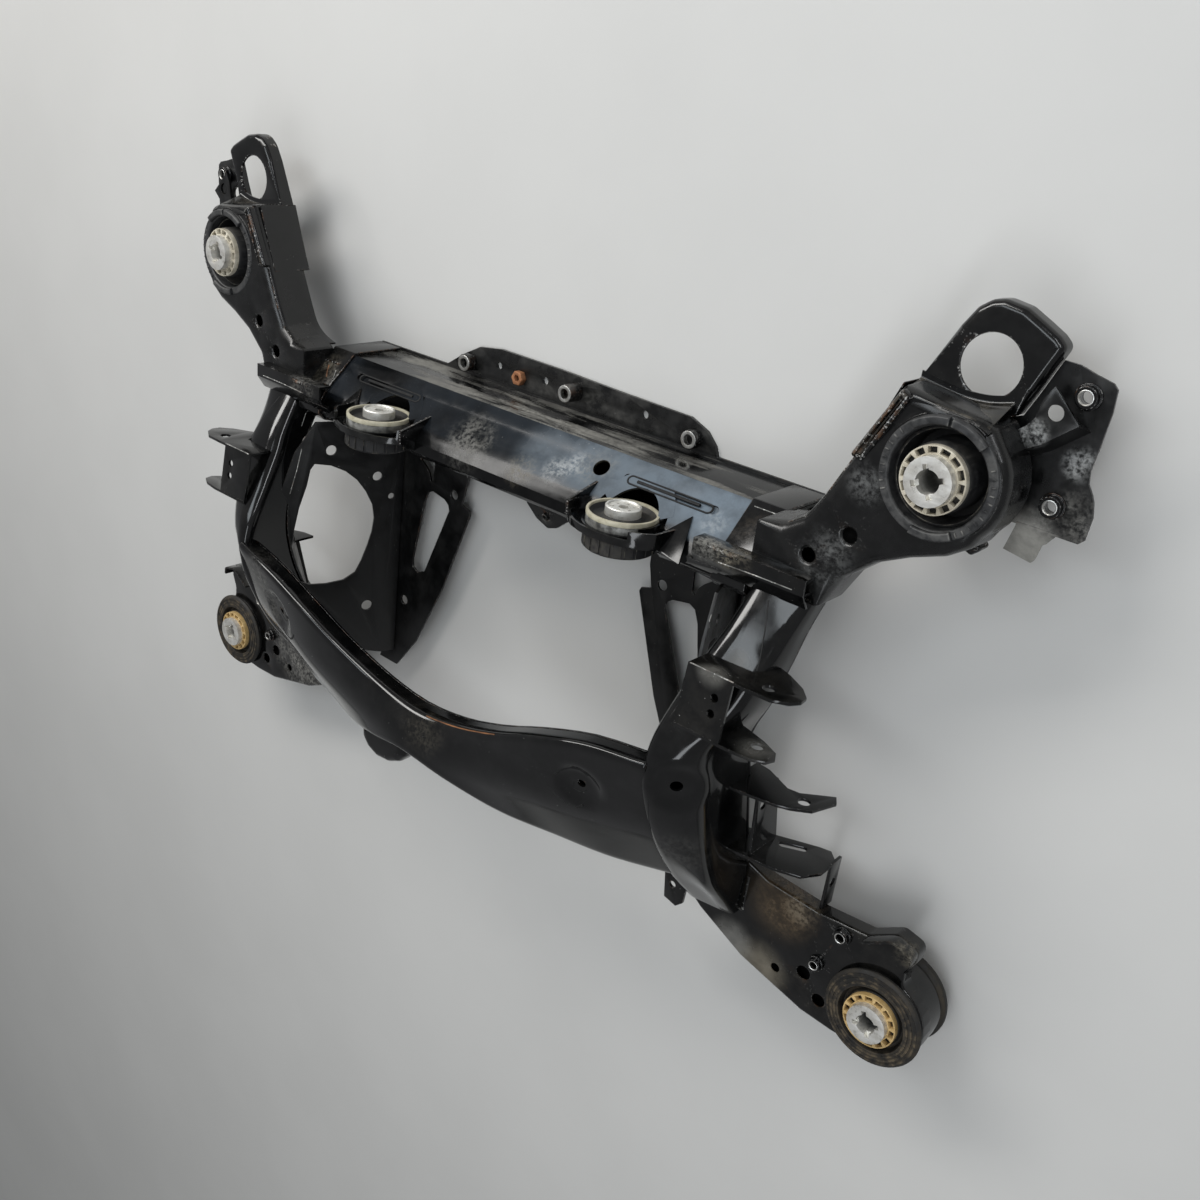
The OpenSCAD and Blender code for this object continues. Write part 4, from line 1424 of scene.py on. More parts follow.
def add_seat(arm: bpy.types.Object, at: Vector, top: float, low: float, bead: Sequence[Flat] = ()) -> None:
    """Adds the tube that holds a body bush to an arm.

    Args:
        arm: The arm's tray.
        at: The bush's axis at height 0, in the row frame.
        top: Height of the arm's top.
        low: Height of the tube's lower end.
        bead: Section of a bead round the bush, if there is one.
    """
    seat = bmesh.new()
    end = top - SEAT_DROP
    lathe(seat, [(SEAT_BORE, low), (SEAT_TUBE, low), (SEAT_TUBE, end), (SEAT_BORE, end)])
    if bead:
        lathe(seat, bead)
    seat.transform(Matrix.Translation(at))
    merge(arm, seat)


def closing_pan(name: str, outline: Sequence[Sequence[float]], low: float, side: Side, corner: float,
                bush: Flat) -> bpy.types.Object:
    """The flat pan that closes an arm from below, open round the bush seat.

    Args:
        name: The piece's name.
        outline: The arm's outline.
        low: Height of the arm's lower edge.
        side: The side that the arm is on.
        corner: Radius of the pan's corners.
        bush: The bush's place.

    Returns:
        The raw piece.
    """
    ring = inset([Vector(p[:2]) for p in outline], 1.2)
    return Tray(name, ring, low + 3.0, low, side, wall=2.4, edge=0.6, corner=corner,
                holes=(Hole(*bush, 2 * SEAT_TUBE - 0.6),)).build()


def drive_place(side: Side) -> Matrix:
    """The matrix from an axle-drive bush's own axis to the row frame."""
    return Matrix.Translation(side.row(*DRIVE_BUSH)) @ Matrix.Rotation(math.pi / 2, 4, "X")


@dataclass
class SideMember:
    """The arched side member of one side, with its pocket."""

    works: Works
    side: Side
    stations: Sequence[Sequence[float]] = (
        (326, -138.4, -5, 354, -138.4, -3, 388, -138.4, -9, -46, -36),
        (320, -177, 23, 363, -176, 20, 382, -172, 3, -20, -22),
        (313, -204, 39, 368, -204, 36, 379, -202, 15, -4, -10),
        (306, -240, 63, 360, -243, 55, 371, -242, 36, 16, -2),
        (301, -280, 86, 338, -284, 76, 353, -286, 56, 28, -8),
        (300.4, -320, 92, 336, -326, 71, 353, -331, 48, 24, -18),
        (300.2, -365, 76, 334, -382, 52, 352, -395, 31, 8, -36),
        (300.2, -415, 48, 332, -432, 28, 353, -452, 11, -22, -52),
        (300.2, -465, 12, 330, -475, -8, 353, -489, -20, -57.7, -57.7),
        (302, -506, -26, 330, -511, -37, 352, -515, -46, -57.7, -57.7))
    foot: float = -57.7

    def build(self) -> None:
        """Builds and dresses the member."""
        pressing = Pressing(f"side_member_{self.side.tag}_skin", self.stations, self.side, foot=self.foot,
                            crease=20.0, ridge=20.0, pockets=(Pocket((333, -321, 70), 30, 3.4, 12.0),))
        piece = self.works.keep(pressing.build(), COAT_SIDE, (f"side_member_{self.side.tag}",), 60.0)
        mark_edges(piece.data, *PRESSED_FOLDS)


@dataclass
class FrontBeam:
    """The bowed front crossmember with its two dented holes."""

    works: Works
    half: Sequence[Sequence[float]] = (
        (0, -384, 86, 0, -410, 98, 0, -434, 100, 66, 62),
        (60, -376, 88, 60, -410, 97, 60, -448, 88, 68, 50),
        (120, -355, 95, 120, -408, 94, 120, -466, 64, 74, 26),
        (180, -328, 101, 180, -402, 88, 180, -472, 42, 79, 6),
        (240, -308, 100, 240, -394, 76, 240, -472, 27, 78, -8),
        (299.4, -301, 93, 299.4, -388, 63, 299.4, -464, 13, 72, -18),
        (308, -300.5, 89, 308, -387, 59, 308, -463, 10, 70, -20))

    def build(self) -> None:
        """Builds and dresses the beam."""
        other = [[-s[0], s[1], s[2], -s[3], s[4], s[5], -s[6], *s[7:]] for s in self.half[:0:-1]]
        pressing = Pressing("front_beam_skin", [*other, *[list(s) for s in self.half]], fine=12, across=14,
                            ridge=20.0, pockets=[Pocket((x, -364, 84), 28, 5.0, 9.0) for x in (236, -236)])
        piece = self.works.keep(pressing.build(), COAT_FRONT, ("front_beam",), 60.0)
        mark_edges(piece.data, *PRESSED_FOLDS)


@dataclass
class RearArm:
    """The rear arm with its bush seat, and the stepped horn behind it."""

    works: Works
    side: Side
    beam_end: float = 322.0
    top: float = -11.0
    low: float = -51.0
    horn_top: float = -48.0
    horn_low: float = -66.0
    seat: float = 54.0
    tube_low: float = -80.0
    ridge: Sequence[Flat] = ((424.5, 57.8), (438, 57.6), (464.6, 54.4), (486.8, 51.6), (500, 48.0))
    foot: Sequence[Flat] = ((421, 62.2), (440, 58.6), (461, 56.0), (481, 57.0), (500, 62.0))
    inner: Sequence[Flat] = ((422.5, 62.5), (411, 33), (398.5, 3), (393, -9), (377, -42), (363.5, -66),
                             (347, -77.5), (328, -83))
    horn: Sequence[Sequence[float]] = (
        (419, 61.6, 1.0), (426.5, 59.6, 1.0), (459, 54.5), (493.3, 50.5, 3.0), (503, 53, 3.0), (512, 74),
        (519, 92), (527, 111), (519, 118), (506, 125), (490, 133), (472, 135.9), (462, 133.5), (452, 126),
        (442, 110))
    butt: Sequence[Flat] = ((419, 61.6), (459, 54.5), (493.3, 50.5), (503, 53))
    bead: Sequence[Flat] = ((50.3, -0.5), (52.0, -0.5), (51.7, 0.9), (51.2, 1.3), (50.6, 1.3), (50.3, 0.9))

    def arm_outline(self) -> list[Flat]:
        """The arm's outline, counter-clockwise."""
        turn = [(REAR_BUSH[0] + self.seat * math.cos(math.radians(a)), self.seat * math.sin(math.radians(a)))
                for a in range(-42, 43, 12)]
        return [(self.beam_end, -138, 0.5), (390, -138, 1.0), (405, -107), (431, -84), (460, -69), (488, -58),
                (505, -46), *turn, (503, 46, 5.0), (493, 50, 3.0), (459, 54), (426, 59, 1.5), (401, 5),
                (378, -44), (364, -68), (346, -80), (self.beam_end, -86, 0.5)]

    def build(self) -> None:
        """Builds and dresses arm and horn."""
        tag = self.side.tag
        outline = self.arm_outline()
        corner = (self.beam_end, -138)
        arm = Tray(f"rear_arm_{tag}_skin", outline, self.top, self.low, self.side, edge=9.0, draft=1.0,
                   corner=14.0, butts=((corner, (self.beam_end, -86)), (corner, (390, -138))),
                   holes=(Hole(*REAR_BUSH, 2 * SEAT_BORE), Hole(407.5, -69.4, 19.0, 0.7),
                          Hole(373.8, -98.4, 19.0, 0.7))).build()
        bead = [(r, self.top + z) for r, z in self.bead]
        add_seat(arm, self.side.row(*REAR_BUSH, 0.0), self.top, self.tube_low, bead)
        self.works.keep(arm, COAT_ARM, (f"rear_arm_{tag}",))
        pan = closing_pan(f"rear_arm_{tag}_pan", outline, self.low, self.side, 10.0, REAR_BUSH)
        self.works.keep(pan, COAT_PLATE)
        strip = Tray(f"rear_arm_{tag}_strip", [(395, -2), (405, -4), (434, 55), (426.4, 58.6)],
                     self.top + 4.0, self.top - 4.0, self.side, wall=1.6, edge=3.8, corner=1.6).build()
        self.works.keep(strip, COAT_STRIP, (), 60.0)
        skirt = upright(f"rear_arm_{tag}_skirt", self.inner[3:], self.low - 11.0, self.low + 8.0, 2.4,
                        self.side)
        self.works.keep(skirt, COAT)
        shell = upright(f"rear_arm_{tag}_shell", [(x - 1.6, y) for x, y in self.inner[:4]], self.low - 19.0,
                        self.top - 9.0, 1.6, self.side)
        self.works.keep(shell, COAT)
        clip = Tray(f"rear_arm_{tag}_clip", [(486, -56.5), (497, -61.5), (503, -56), (492, -50)], -46.0,
                    -62.0, self.side, wall=2.0, edge=1.5, corner=1.5).build()
        self.works.keep(clip, COAT)
        self.step()
        horn = Tray(f"horn_{tag}_skin", self.horn, self.horn_top, self.horn_low, self.side, edge=7.0,
                    corner=14.0, blend=10.0, butts=tuple(zip(self.butt, self.butt[1:])),
                    holes=(Hole(474.2, 85.6, 50.0, 2.0),)).build()
        self.works.keep(horn, COAT_HORN, (f"horn_{tag}",))

    def step(self) -> None:
        """Builds the rounded wall that falls from the arm's rear edge to the horn."""
        back = Vector((0.0, 1.0, 0.0))
        bm = bmesh.new()
        rows = []
        for head, foot in zip(catmull(self.ridge, 6), catmull(self.foot, 6)):
            r, f = Vector((*head, self.top)), Vector((*foot, self.horn_top + 0.1))
            start, end = r - back * 8.0, f + back * 7.0
            line = [start, *bend(start, r, f, 5.0), *bend(r, f, end, 6.0), end]
            rows.append([bm.verts.new(self.side.row(*p)) for p in line])
        for low, high in zip(rows, rows[1:]):
            bridge(bm, low, high, closed=False)
        face_up(bm)
        piece = raw_piece(f"rear_arm_{self.side.tag}_step", bm)
        thicken(piece, 2.0)
        self.works.keep(piece, COAT_STEP, (), 60.0)


@dataclass
class FrontArm:
    """The front arm tray with its bush seat."""

    works: Works
    side: Side
    top: float = -58.0
    low: float = -76.0
    tube_low: float = -98.0
    seat: float = 49.0
    ridges: Sequence[Flat] = ((46.6, -48.9), (42.4, -48.5), (38.2, -48.0))
    rim: Sequence[Flat] = ((491, -462.5), (504, -454), (518.5, -445.4), (530, -447.4), (538.5, -450.5),
                           (539.5, -459))

    def outline(self) -> list[Flat]:
        """The arm's outline, counter-clockwise."""
        x, y = FRONT_BUSH
        turn = [(x + self.seat * math.cos(math.radians(a)), y + self.seat * math.sin(math.radians(a)))
                for a in range(-100, 82, 13)]
        return [(286, -526), (305, -540), (363, -568), (441, -588), (478, -590), *turn, (534, -480),
                (541, -464), (541, -448), (518, -443), (490, -461), (436, -466), (377, -463), (330, -446),
                (286, -446)]

    def build(self) -> None:
        """Builds and dresses the tray."""
        tag = self.side.tag
        arm = Tray(f"front_arm_{tag}_skin", self.outline(), self.top, self.low, self.side, edge=5.0,
                   corner=9.0,
                   holes=(Hole(*FRONT_BUSH, 2 * SEAT_BORE), Hole(436, -542, 15.0, 1.0),
                          Hole(458, -563, 14.0, 1.0), Hole(405, -556, 10.0, 0.8), Hole(467, -475, 9.5),
                          Hole(447, -522, 8.5))).build()
        axis = self.side.row(*FRONT_BUSH, 0.0)
        add_seat(arm, axis, self.top, self.tube_low)
        self.works.keep(arm, COAT_FOOT, (f"front_arm_{tag}",))
        pan = closing_pan(f"front_arm_{tag}_pan", self.outline(), self.low, self.side, 8.0, FRONT_BUSH)
        self.works.keep(pan, COAT_PLATE)
        ridges = bmesh.new()
        for radius, height in self.ridges:
            lathe(ridges, [(radius - 1.5, height - 0.8), (radius + 1.5, height - 0.8),
                           (radius + 1.0, height + 0.7), (radius - 1.0, height + 0.7)])
        ridges.transform(Matrix.Translation(axis))
        self.works.keep(raw_piece(f"front_rubber_{tag}_ridges", ridges), RUBBER_DUSTY, (), 60.0)
        wall = upright(f"front_arm_{tag}_wall", self.rim, self.top - 1.5, self.top + 12.0, 3.0, self.side)
        self.works.keep(wall, COAT_FOOT)


@dataclass
class RearBush:
    """The dark flange ring of a rear body bush, with its pads and small ribs."""

    works: Works
    side: Side
    ring: Sequence[Flat] = ((41, -76), (44, -76), (44, -10.9), (50, -10.9), (50, -8.4), (49, -7.4),
                            (42.5, -7.4), (41, -9))
    pad: Sequence[Flat] = ((42.2, -8.0), (49.8, -8.0), (49.8, -5.0), (48.4, -3.2), (43.4, -3.2), (42.2, -4.6))
    pads: Sequence[Flat] = ((46.0, 86.0), (89.0, 128.0), (256.0, 300.0))
    ribbed: Sequence[Flat] = ((-56.0, 38.0), (142.0, 216.0))
    rib_step: float = 8.0
    rib_ring: float = 46.4
    rib_size: Point = (4.4, 1.2, 1.6)
    rib_level: float = -7.3

    def build(self) -> None:
        """Builds and dresses the ring."""
        tag = self.side.tag
        bm = bmesh.new()
        lathe(bm, self.ring)
        for start, end in self.pads:
            lathe(bm, self.pad, start, end, 20)
        if self.side is Side.LEFT:
            bmesh.ops.scale(bm, vec=(-1, 1, 1), verts=bm.verts)
            bmesh.ops.recalc_face_normals(bm, faces=bm.faces)
        bm.transform(Matrix.Translation(self.side.row(*REAR_BUSH, 0.0)))
        ring = raw_piece(f"rear_can_{tag}_skin", bm)
        softened(ring, 0.6)
        self.works.keep(ring, CAN, (f"rear_can_{tag}",))
        points = []
        for start, end in self.ribbed:
            for k in range(int((end - start) / self.rib_step)):
                angle = math.radians(start + k * self.rib_step)
                spot = Vector((self.side.value * math.cos(angle), math.sin(angle), 0.0))
                points.append(spot * self.rib_ring * MM)
        tree = RibTree(self.works.shop.material(CAN), f"flange_ribs_{tag}")
        ribs = tree.run(f"rear_can_{tag}_ribs", points, self.rib_size,
                        Matrix.Translation(self.side.row(*REAR_BUSH, self.rib_level)))
        self.works.keep(ribs, CAN)


@dataclass
class WeldNuts:
    """The bright thread ends of the black weld nuts: place, height of the nut's end and thread."""

    works: Works
    side: Side
    nuts: Sequence[tuple[float, float, float, float]] = (
        (548.5, 78.7, -53.9, 10.0), (545.0, -8.8, -53.9, 10.0), (467.0, -475.0, -50.7, 9.0),
        (447.0, -522.0, -51.5, 8.0))

    def build(self) -> None:
        """Builds the rings on the four nuts of one side."""
        piece = raw_piece(f"nut_rings_{self.side.tag}", bmesh.new())
        for x, y, z, d in self.nuts:
            ring = bmesh.new()
            r = d / 2
            lathe(ring, [(r, -3.0), (r + 0.6, -3.0), (r + 1.1, -0.5), (r + 1.1, 0.1), (r + 0.6, 0.3),
                         (r, -0.2)], steps=32)
            ring.transform(Matrix.Translation(self.side.row(x, y, z)))
            merge(piece, ring)
        self.works.keep(piece, ZINC)


@dataclass
class Hanger:
    """The three sleeves and the rusty nut on the hanger plate."""

    works: Works
    foot: float = -126.9
    bore: float = 5.5
    outer: float = 10.0
    sleeves: Sequence[Point] = ((-162.6, -72.3, -114.4), (0.0, -66.2, -107.4), (162.6, -72.3, -114.4))
    nut: Flat = (-82.0, -71.0)

    def turned(self, name: str, profile: Sequence[Flat], at: Point, finish: Finish,
               stands_for: Sequence[str] = (), steps: int = 40) -> None:
        """Turns one fitting and places it.

        Args:
            name: The piece's name.
            profile: Radius and height of its section.
            at: Its place in the work frame.
            finish: Its finish.
            stands_for: CAD nodes that it replaces.
            steps: Parts of the turn.
        """
        bm = bmesh.new()
        lathe(bm, profile, steps=steps)
        bm.transform(Matrix.Translation(row(*at)))
        piece = raw_piece(name, bm)
        softened(piece, 0.5)
        self.works.keep(piece, finish, stands_for)

    def build(self) -> None:
        """Builds sleeves, their bright ends and the nut."""
        for i, (x, y, top) in enumerate(self.sleeves):
            tall, inner, at = top - self.foot, self.bore + 0.2, (x, y, self.foot)
            self.turned(f"hanger_sleeve_{i}",
                        [(inner, 0), (self.outer, 0), (self.outer, tall - 0.6), (inner, tall - 0.6)], at,
                        COAT_DUSTY if i == 1 else COAT, ("hanger_sleeves",) if i == 0 else ())
            self.turned(f"hanger_sleeve_end_{i}",
                        [(self.bore, tall - 6), (self.bore + 1, tall - 6), (self.bore + 1, tall - 0.7),
                         (self.outer - 0.8, tall - 0.7), (self.outer - 0.9, tall), (self.bore, tall)], at,
                        ZINC)
        self.turned("hanger_nut", [(4, 0), (8.5, 0), (8.5, 7.4), (7.8, 8), (4, 8)], (*self.nut, self.foot),
                    RUSTY_NUT, steps=6)


@dataclass
class DriveCore:
    """The bright core of an axle-drive bush, with its raised rim and small pits."""

    works: Works
    side: Side
    radius: float = 17.75
    bore: float = 5.0
    ends: Flat = (-5.3, 38.7)
    recess: float = 1.6
    pits: int = 6
    pit_ring: float = 10.2
    pit_width: float = 2.8
    pit_depth: float = 0.003

    def build(self) -> None:
        """Builds and dresses the core."""
        near, far = self.ends
        bm = bmesh.new()
        r, face = self.radius, near + self.recess
        lathe(bm, [(self.bore, face), (r - 3.4, face), (r - 2.6, near), (r - 0.8, near), (r, near + 0.8),
                   (r, far), (self.bore, far)])
        place = drive_place(self.side)
        bm.transform(place)
        core = raw_piece(f"drive_core_{self.side.tag}_skin", bm)
        cuts = []
        for k in range(self.pits):
            angle = 2 * math.pi * (k + 0.3) / self.pits
            spot = Vector((math.cos(angle), math.sin(angle), 0.0)) * self.pit_ring + Vector((0, 0, face))
            cuts.append((place @ (spot * MM), Vector((0, 1, 0)), self.pit_width * MM))
        drill(core, cuts, self.pit_depth)
        self.works.keep(core, ALUMINIUM, (f"drive_core_{self.side.tag}",), 30.0)


@dataclass
class DriveCan:
    """The can of an axle-drive bush: pale rim, black sleeve and its flat ribs."""

    works: Works
    side: Side
    radius: float = 35.5
    rim: float = 5.0
    length: float = 36.0
    ribs: int = 20
    band: float = 13.5
    bezel: Flat = (33.5, 48.0)
    bezel_lift: float = 0.15
    bezel_sink: float = -2.5
    bezel_steps: int = 40
    face_spot: Point = (0.0, -125.0, -17.5)
    sweep: Flat = (206.0, 334.0)
    rib_size: Point = (1.4, 8.4, 14.0)
    rib_back: float = 8.0
    cut_low: Point = (125.0, -133.0, -30.0)
    cut_high: Point = (211.0, -112.0, 60.0)

    def cup(self) -> None:
        """Copies the cup with its wall cut down to a low rim, so that the can shows above it."""
        tag = self.side.tag
        bm = bmesh.new()
        bm.from_mesh(self.works.nodes[f"drive_cup_{tag}"].data)
        bmesh.ops.remove_doubles(bm, verts=bm.verts, dist=JOIN_GAP)
        piece = raw_piece(f"drive_cup_{tag}_skin", bm)
        low, high = self.side.row(*self.cut_low), self.side.row(*self.cut_high)
        box = bmesh.new()
        bmesh.ops.create_cube(box, size=1.0, matrix=Matrix.Translation((low + high) / 2)
                              @ Matrix.Diagonal((*[abs(c) for c in high - low], 1.0)))
        carve(piece, box)
        softened(piece, 0.9, FOLD_PARTS, SHARP_FOLD)
        self.works.keep(piece, COAT_CUP, (f"drive_cup_{tag}",), COPY_SMOOTH)

    def lip(self) -> None:
        """Closes the recess of the beam's face round the upper half of the can."""
        normal = Vector(BEAM_FACE)
        level = normal.dot(Vector(self.face_spot))
        lifts = (self.bezel_lift, self.bezel_lift, self.bezel_sink, self.bezel_sink)
        bm = bmesh.new()
        rings = []
        for k in range(self.bezel_steps + 1):
            angle = math.radians(self.sweep[0] + (self.sweep[1] - self.sweep[0]) * k / self.bezel_steps)
            corners = []
            for radius, lift in zip((*self.bezel, *self.bezel[::-1]), lifts):
                x, z = DRIVE_BUSH[0] + radius * math.cos(angle), DRIVE_BUSH[2] + radius * math.sin(angle)
                spot = Vector((x, (level - normal.z * z) / normal.y, z)) + normal * lift
                corners.append(bm.verts.new(self.side.row(*spot)))
            rings.append(corners)
        close_run(bm, rings)
        self.works.keep(raw_piece(f"drive_recess_{self.side.tag}", bm), COAT_BEAM)

    def build(self) -> None:
        """Builds and dresses the can."""
        self.lip()
        self.cup()
        tag, r, rim, band, end = self.side.tag, self.radius, self.rim, self.band, self.length
        place = drive_place(self.side)
        for name, profile, finish, nodes in (
                ("skin", [(r - 3, 0), (r, 0), (r, rim), (r - 3, rim)], DRIVE_CAN, (f"drive_can_{tag}",)),
                ("band", [(r - 3, rim), (r - 0.2, rim), (r - 0.2, band), (r - 3, band)], DRIVE_BAND, ()),
                ("sleeve", [(r - 3, band), (r - 0.3, band), (r - 0.3, end), (r - 2, end + 1), (r - 3, end)],
                 RUBBER, ())):
            bm = bmesh.new()
            lathe(bm, profile)
            bm.transform(place)
            piece = raw_piece(f"drive_can_{tag}_{name}", bm)
            softened(piece, 0.7)
            self.works.keep(piece, finish, nodes)
        points = [Vector((math.cos(a), math.sin(a), 0.0)) * (r * MM)
                  for a in (2 * math.pi * k / self.ribs for k in range(self.ribs))]
        tree = RibTree(self.works.shop.material(RUBBER), f"sleeve_ribs_{tag}")
        ribs = tree.run(f"drive_can_{tag}_ribs", points, self.rib_size,
                        place @ Matrix.Translation((0.0, 0.0, (end - self.rib_back) * MM)))
        self.works.keep(ribs, RUBBER)


@dataclass
class SmallTabs:
    """The threaded tab on the rear beam's front wall and the round lug under the front beam."""

    works: Works
    tab: Sequence[Flat] = ((26, -157), (27, -166), (44, -179), (60, -185), (72, -181), (90, -166), (91, -157))
    tab_top: float = -33.0
    tab_low: float = -37.0
    thread: Point = (57.0, -172.5, 9.0)
    nut: Flat = (6.5, -46.0)
    lug: Sequence[Flat] = ((-92, -450), (-90.4, -465.6), (-81, -476), (-66, -481.4), (-47.6, -479.5),
                           (-32, -471.8), (-24, -462), (-22, -437))
    lug_top: float = 74.0
    lug_low: float = 57.0

    def build(self) -> None:
        """Builds and dresses both."""
        x, y, d = self.thread
        tab = Tray("beam_tab", self.tab, self.tab_top, self.tab_low, Side.RIGHT, wall=2.4, edge=1.0,
                   corner=6.0, holes=(Hole(x, y, d, 1.0),)).build()
        nut = bmesh.new()
        radius, foot = self.nut
        head = self.tab_top - 2.0
        lathe(nut, [(d / 2, foot), (radius, foot), (radius, head), (d / 2, head)], steps=32)
        nut.transform(Matrix.Translation(row(x, y, 0.0)))
        merge(tab, nut)
        self.works.keep(tab, COAT_DUSTY)
        lug = Tray("beam_lug", self.lug, self.lug_top, self.lug_low, Side.RIGHT, wall=2.4, edge=8.0,
                   corner=8.0).build()
        self.works.keep(lug, COAT, (), 60.0)


class Line(Enum):
    """Kinds of line laid on the sheet metal."""

    SLIT = "slit"
    SLOT = "slot"
    WELD = "weld"
    EDGE = "edge"
    WORN = "worn"
    ROLL = "roll"
    RUST = "rust"
    WIRE = "wire"


# Slit and slot lines are near-black beads of painted shadow.
LINE_LOOKS: dict[Line, tuple[float, float, Finish]] = {
    Line.SLIT: (1.0, 0.0, SLIT), Line.SLOT: (1.9, 0.0, SLIT), Line.WELD: (1.8, 0.22, WELD),
    Line.EDGE: (0.9, 0.05, COAT_STRIP), Line.WORN: (0.6, 0.25, WORN_LINE),
    Line.ROLL: (2.6, 0.04, COAT_GUSSET), Line.RUST: (0.8, 0.30, RUST_LINE), Line.WIRE: (1.5, 0.0, COAT)}


@dataclass
class Seams:
    """Painted shadow lines in slits and slots, weld beads and worn edge lines, draped on the pieces that
    carry them.

    Paired lines are given for the right-hand side, with the place of the side's tag in the carrier's name.
    """

    works: Works
    slit_sink: float = 0.70
    bead_sink: float = 0.45
    paired: Sequence[tuple[Line, str, Sequence[Point]]] = (
        (Line.SLIT, "side_member_{}_skin", ((351, -146.5, 1), (360, -168, 14), (367, -191, 25.6),
                                            (369, -199, 31))),
        (Line.SLIT, "side_member_{}_skin", ((311, -341, 80), (305, -393, 59))),
        (Line.SLIT, "gusset_{}_skin", ((297.6, -122.2, 8), (309.7, -119, 8))),
        (Line.SLIT, "front_beam_skin", ((225.7, -364.8, 81.6), (224, -373, 79.8), (231.4, -374.8, 77.7),
                                        (239.4, -368.4, 77.7))),
        (Line.SLOT, FREE, ((163, -103.5, -40.2), (238, -103.5, -40.2))),
        (Line.SLOT, "front_beam_skin", ((208, -361, 90.5), (214, -353.5, 90.4), (223.8, -347.3, 88),
                                        (234.4, -345, 86.1), (242.2, -349.2, 82.7))),
        (Line.SLOT, "front_beam_skin", ((201, -379, 88.4), (208, -387, 84.7), (218, -393.4, 80.1),
                                        (229.7, -393.2, 77.1), (236.5, -387.3, 77))),
        (Line.EDGE, "rear_arm_{}_skin", ((348, -78, -14), (366, -66, -14), (379, -43, -14), (396, -6, -14))),
        (Line.WELD, "rear_arm_{}_skin", ((328, -137, -11), (386, -137, -11))),
        (Line.WELD, "front_arm_{}_skin", ((356, -470, -58), (356, -512, -58), (330, -516, -58),
                                          (306, -512, -58))),
        (Line.WORN, "side_member_{}_skin", ((322.6, -161.7, -16), (318, -176, -8))),
        (Line.WORN, "side_plate_{}_skin", ((298, -180, 5), (298.8, -221, 13.8), (301.7, -251, 21.3))),
        (Line.WORN, "upper_bracket_{}_skin", ((322, -200, 65), (368, -200, 67))),
        (Line.WORN, "gusset_{}_skin", ((297.6, -128, 8), (337, -126.5, 8), (374.7, -126, 8))),
        (Line.ROLL, "gusset_{}_skin", ((284, -117, 8), (300, -117, 8), (318, -117.5, 8))))
    single: Sequence[tuple[Line, str, Sequence[Point]]] = (
        (Line.RUST, "front_beam_skin", ((22, -383, 86), (60, -376, 88), (98, -364, 92), (128, -352, 96))),
        (Line.RUST, "saddle_left_skin", ((-308, -102, -37), (-303, -108, -30), (-298, -113, -26))),
        (Line.WORN, "saddle_left_skin", ((-292, -104, -35), (-287, -113, -27))),
        (Line.WORN, "saddle_right_skin", ((290, -89, -50), (318, -89, -50))),
        (Line.WIRE, "saddle_left_skin", ((-319, -90, -33), (-305, -95, -38), (-292, -98, -41))))
    groove_ends: Flat = (156.0, 248.0)
    groove_line: Flat = (-103.5, -39.8)
    groove_half: float = 4.6
    groove_steps: int = 10

    def drape(self, piece: str, path: Sequence[Point], sink: float, step: float = 3.0) -> list[Vector]:
        """Lays a line on a piece.

        Args:
            piece: The name of the piece that carries it, or FREE for a path that is used as it is.
            path: A few points near the line, in the work frame.
            sink: How far the line lies below the surface, in millimetres.
            step: Distance between the laid points in millimetres.

        Returns:
            Points on the piece in the row frame.
        """
        if piece == FREE:
            return [row(*p) for p in path]
        mesh = bpy.data.objects[piece].data
        tree = BVHTree.FromPolygons([v.co for v in mesh.vertices], [p.vertices for p in mesh.polygons])
        laid: list[Vector] = []
        for a, b in zip(path, path[1:]):
            start, end = row(*a), row(*b)
            count = max(1, int((end - start).length / (step * MM)))
            for k in range(count + (b == path[-1])):
                spot, normal, _, _ = tree.find_nearest(start.lerp(end, k / count))
                laid.append(spot - normal * (sink * MM))
        return laid

    def groove(self) -> list[Point]:
        """The closed rim of the right-hand groove in the beam's slanted face, drawn as a painted shadow line.

        Returns:
            Points in the work frame.
        """
        down = Vector((0.0, BEAM_FACE[2], -BEAM_FACE[1]))
        rim: list[Point] = []
        for k in range(2 * self.groove_steps + 3):
            half, step = divmod(k, self.groove_steps + 1)
            turn = math.pi * (step / self.groove_steps + half % 2 + 0.5)
            end = self.groove_ends[1 - half % 2] + self.groove_half * math.cos(turn - math.pi)
            spot = Vector((end, *self.groove_line)) + down * (self.groove_half * math.sin(turn - math.pi))
            rim.append((spot.x, spot.y, spot.z))
        return rim

    def lay(self, name: str, kind: Line, lines: Sequence[tuple[str, Sequence[Point]]]) -> None:
        """Builds one piece from lines of a kind.

        Args:
            name: The piece's name.
            kind: What the lines are.
            lines: For each line, the carrying piece and its path.
        """
        radius, ripple, finish = LINE_LOOKS[kind]
        tree = BeadTree(self.works.shop.material(finish))
        sink = self.slit_sink if finish is SLIT else self.bead_sink
        paths = [self.drape(piece, path, sink * radius) for piece, path in lines]
        bead = tree.run(name, paths, radius, ripple)
        self.works.keep(bead, finish)

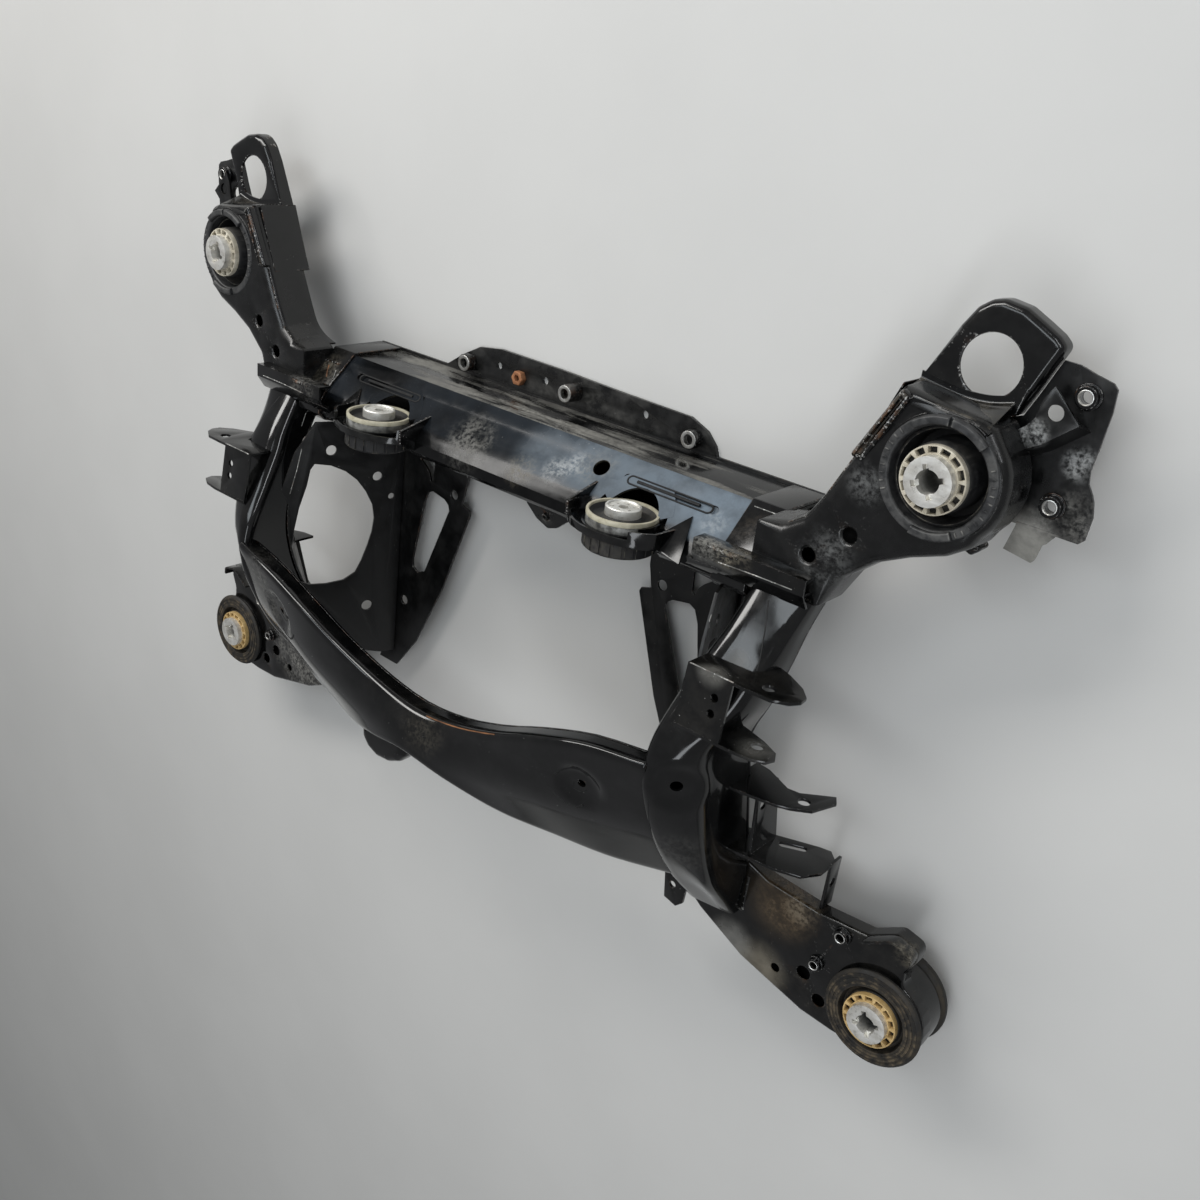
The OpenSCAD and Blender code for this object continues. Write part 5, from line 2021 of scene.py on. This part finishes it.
    def build(self) -> None:
        """Lays every line."""
        lines: dict[Line, list[tuple[str, Sequence[Point]]]] = {kind: [] for kind in Line}
        for side in Side:
            for kind, carrier, path in (*self.paired, (Line.SLIT, FREE, self.groove())):
                lines[kind].append((carrier.format(side.tag), [(side.value * x, y, z) for x, y, z in path]))
        for kind, carrier, path in self.single:
            lines[kind].append((carrier, path))
        for kind, laid in lines.items():
            self.lay(f"{kind.value}_lines", kind, laid)


def main() -> None:
    """Builds the studio and every sub-assembly in order."""
    logging.basicConfig(level=logging.INFO, format="%(name)s: %(message)s")
    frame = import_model()
    Studio().build()
    works = Works(frame["nodes"], FinishShop())
    plain: list[tuple[str, Finish, float]] = [
        ("rear_beam", COAT_BEAM, 1.0), ("rear_beam_floor", COAT_PLATE, 0.6), ("front_beam_floor", COAT, 0.6),
        ("hanger_plate", COAT_DUSTY, 0.9)]
    paired: list[tuple[str, Finish, float]] = [
        ("saddle", COAT_SADDLE, 1.0), ("end_plate", COAT_END, 0.9),
        ("end_nuts", COAT, 0.7), ("side_floor", COAT_PLATE, 0.6),
        ("side_plate", COAT_PLATE, 0.9), ("strut_plate", COAT_PLATE, 0.9),
        ("upper_bracket", COAT_BRACKET, 1.2), ("lower_bracket", COAT_BRACKET, 1.2),
        ("gusset", COAT_GUSSET, 1.6), ("arm_nuts", COAT, 0.7), ("front_tab", COAT, 0.8),
        ("rear_core", ALUMINIUM, 0.6), ("rear_cage", CAGE, 0.5), ("rear_rubber", RUBBER, 0.8),
        ("front_core", ALUMINIUM, 0.6),
        ("front_cage", CAGE_GOLD, 0.5), ("front_rubber", RUBBER_DUSTY, 0.8), ("front_can", CAN, 0.6),
        ("drive_rubber", RUBBER, 0.8)]
    for node, finish, fold in plain:
        works.rounded(node, finish, fold)
    FrontBeam(works).build()
    Hanger(works).build()
    for side in Side:
        for stem, finish, fold in paired:
            works.rounded(f"{stem}_{side.tag}", finish, fold)
        SideMember(works, side).build()
        RearArm(works, side).build()
        FrontArm(works, side).build()
        RearBush(works, side).build()
        WeldNuts(works, side).build()
        DriveCore(works, side).build()
        DriveCan(works, side).build()
    SmallTabs(works).build()
    Seams(works).build()


if __name__ == "__main__":
    main()
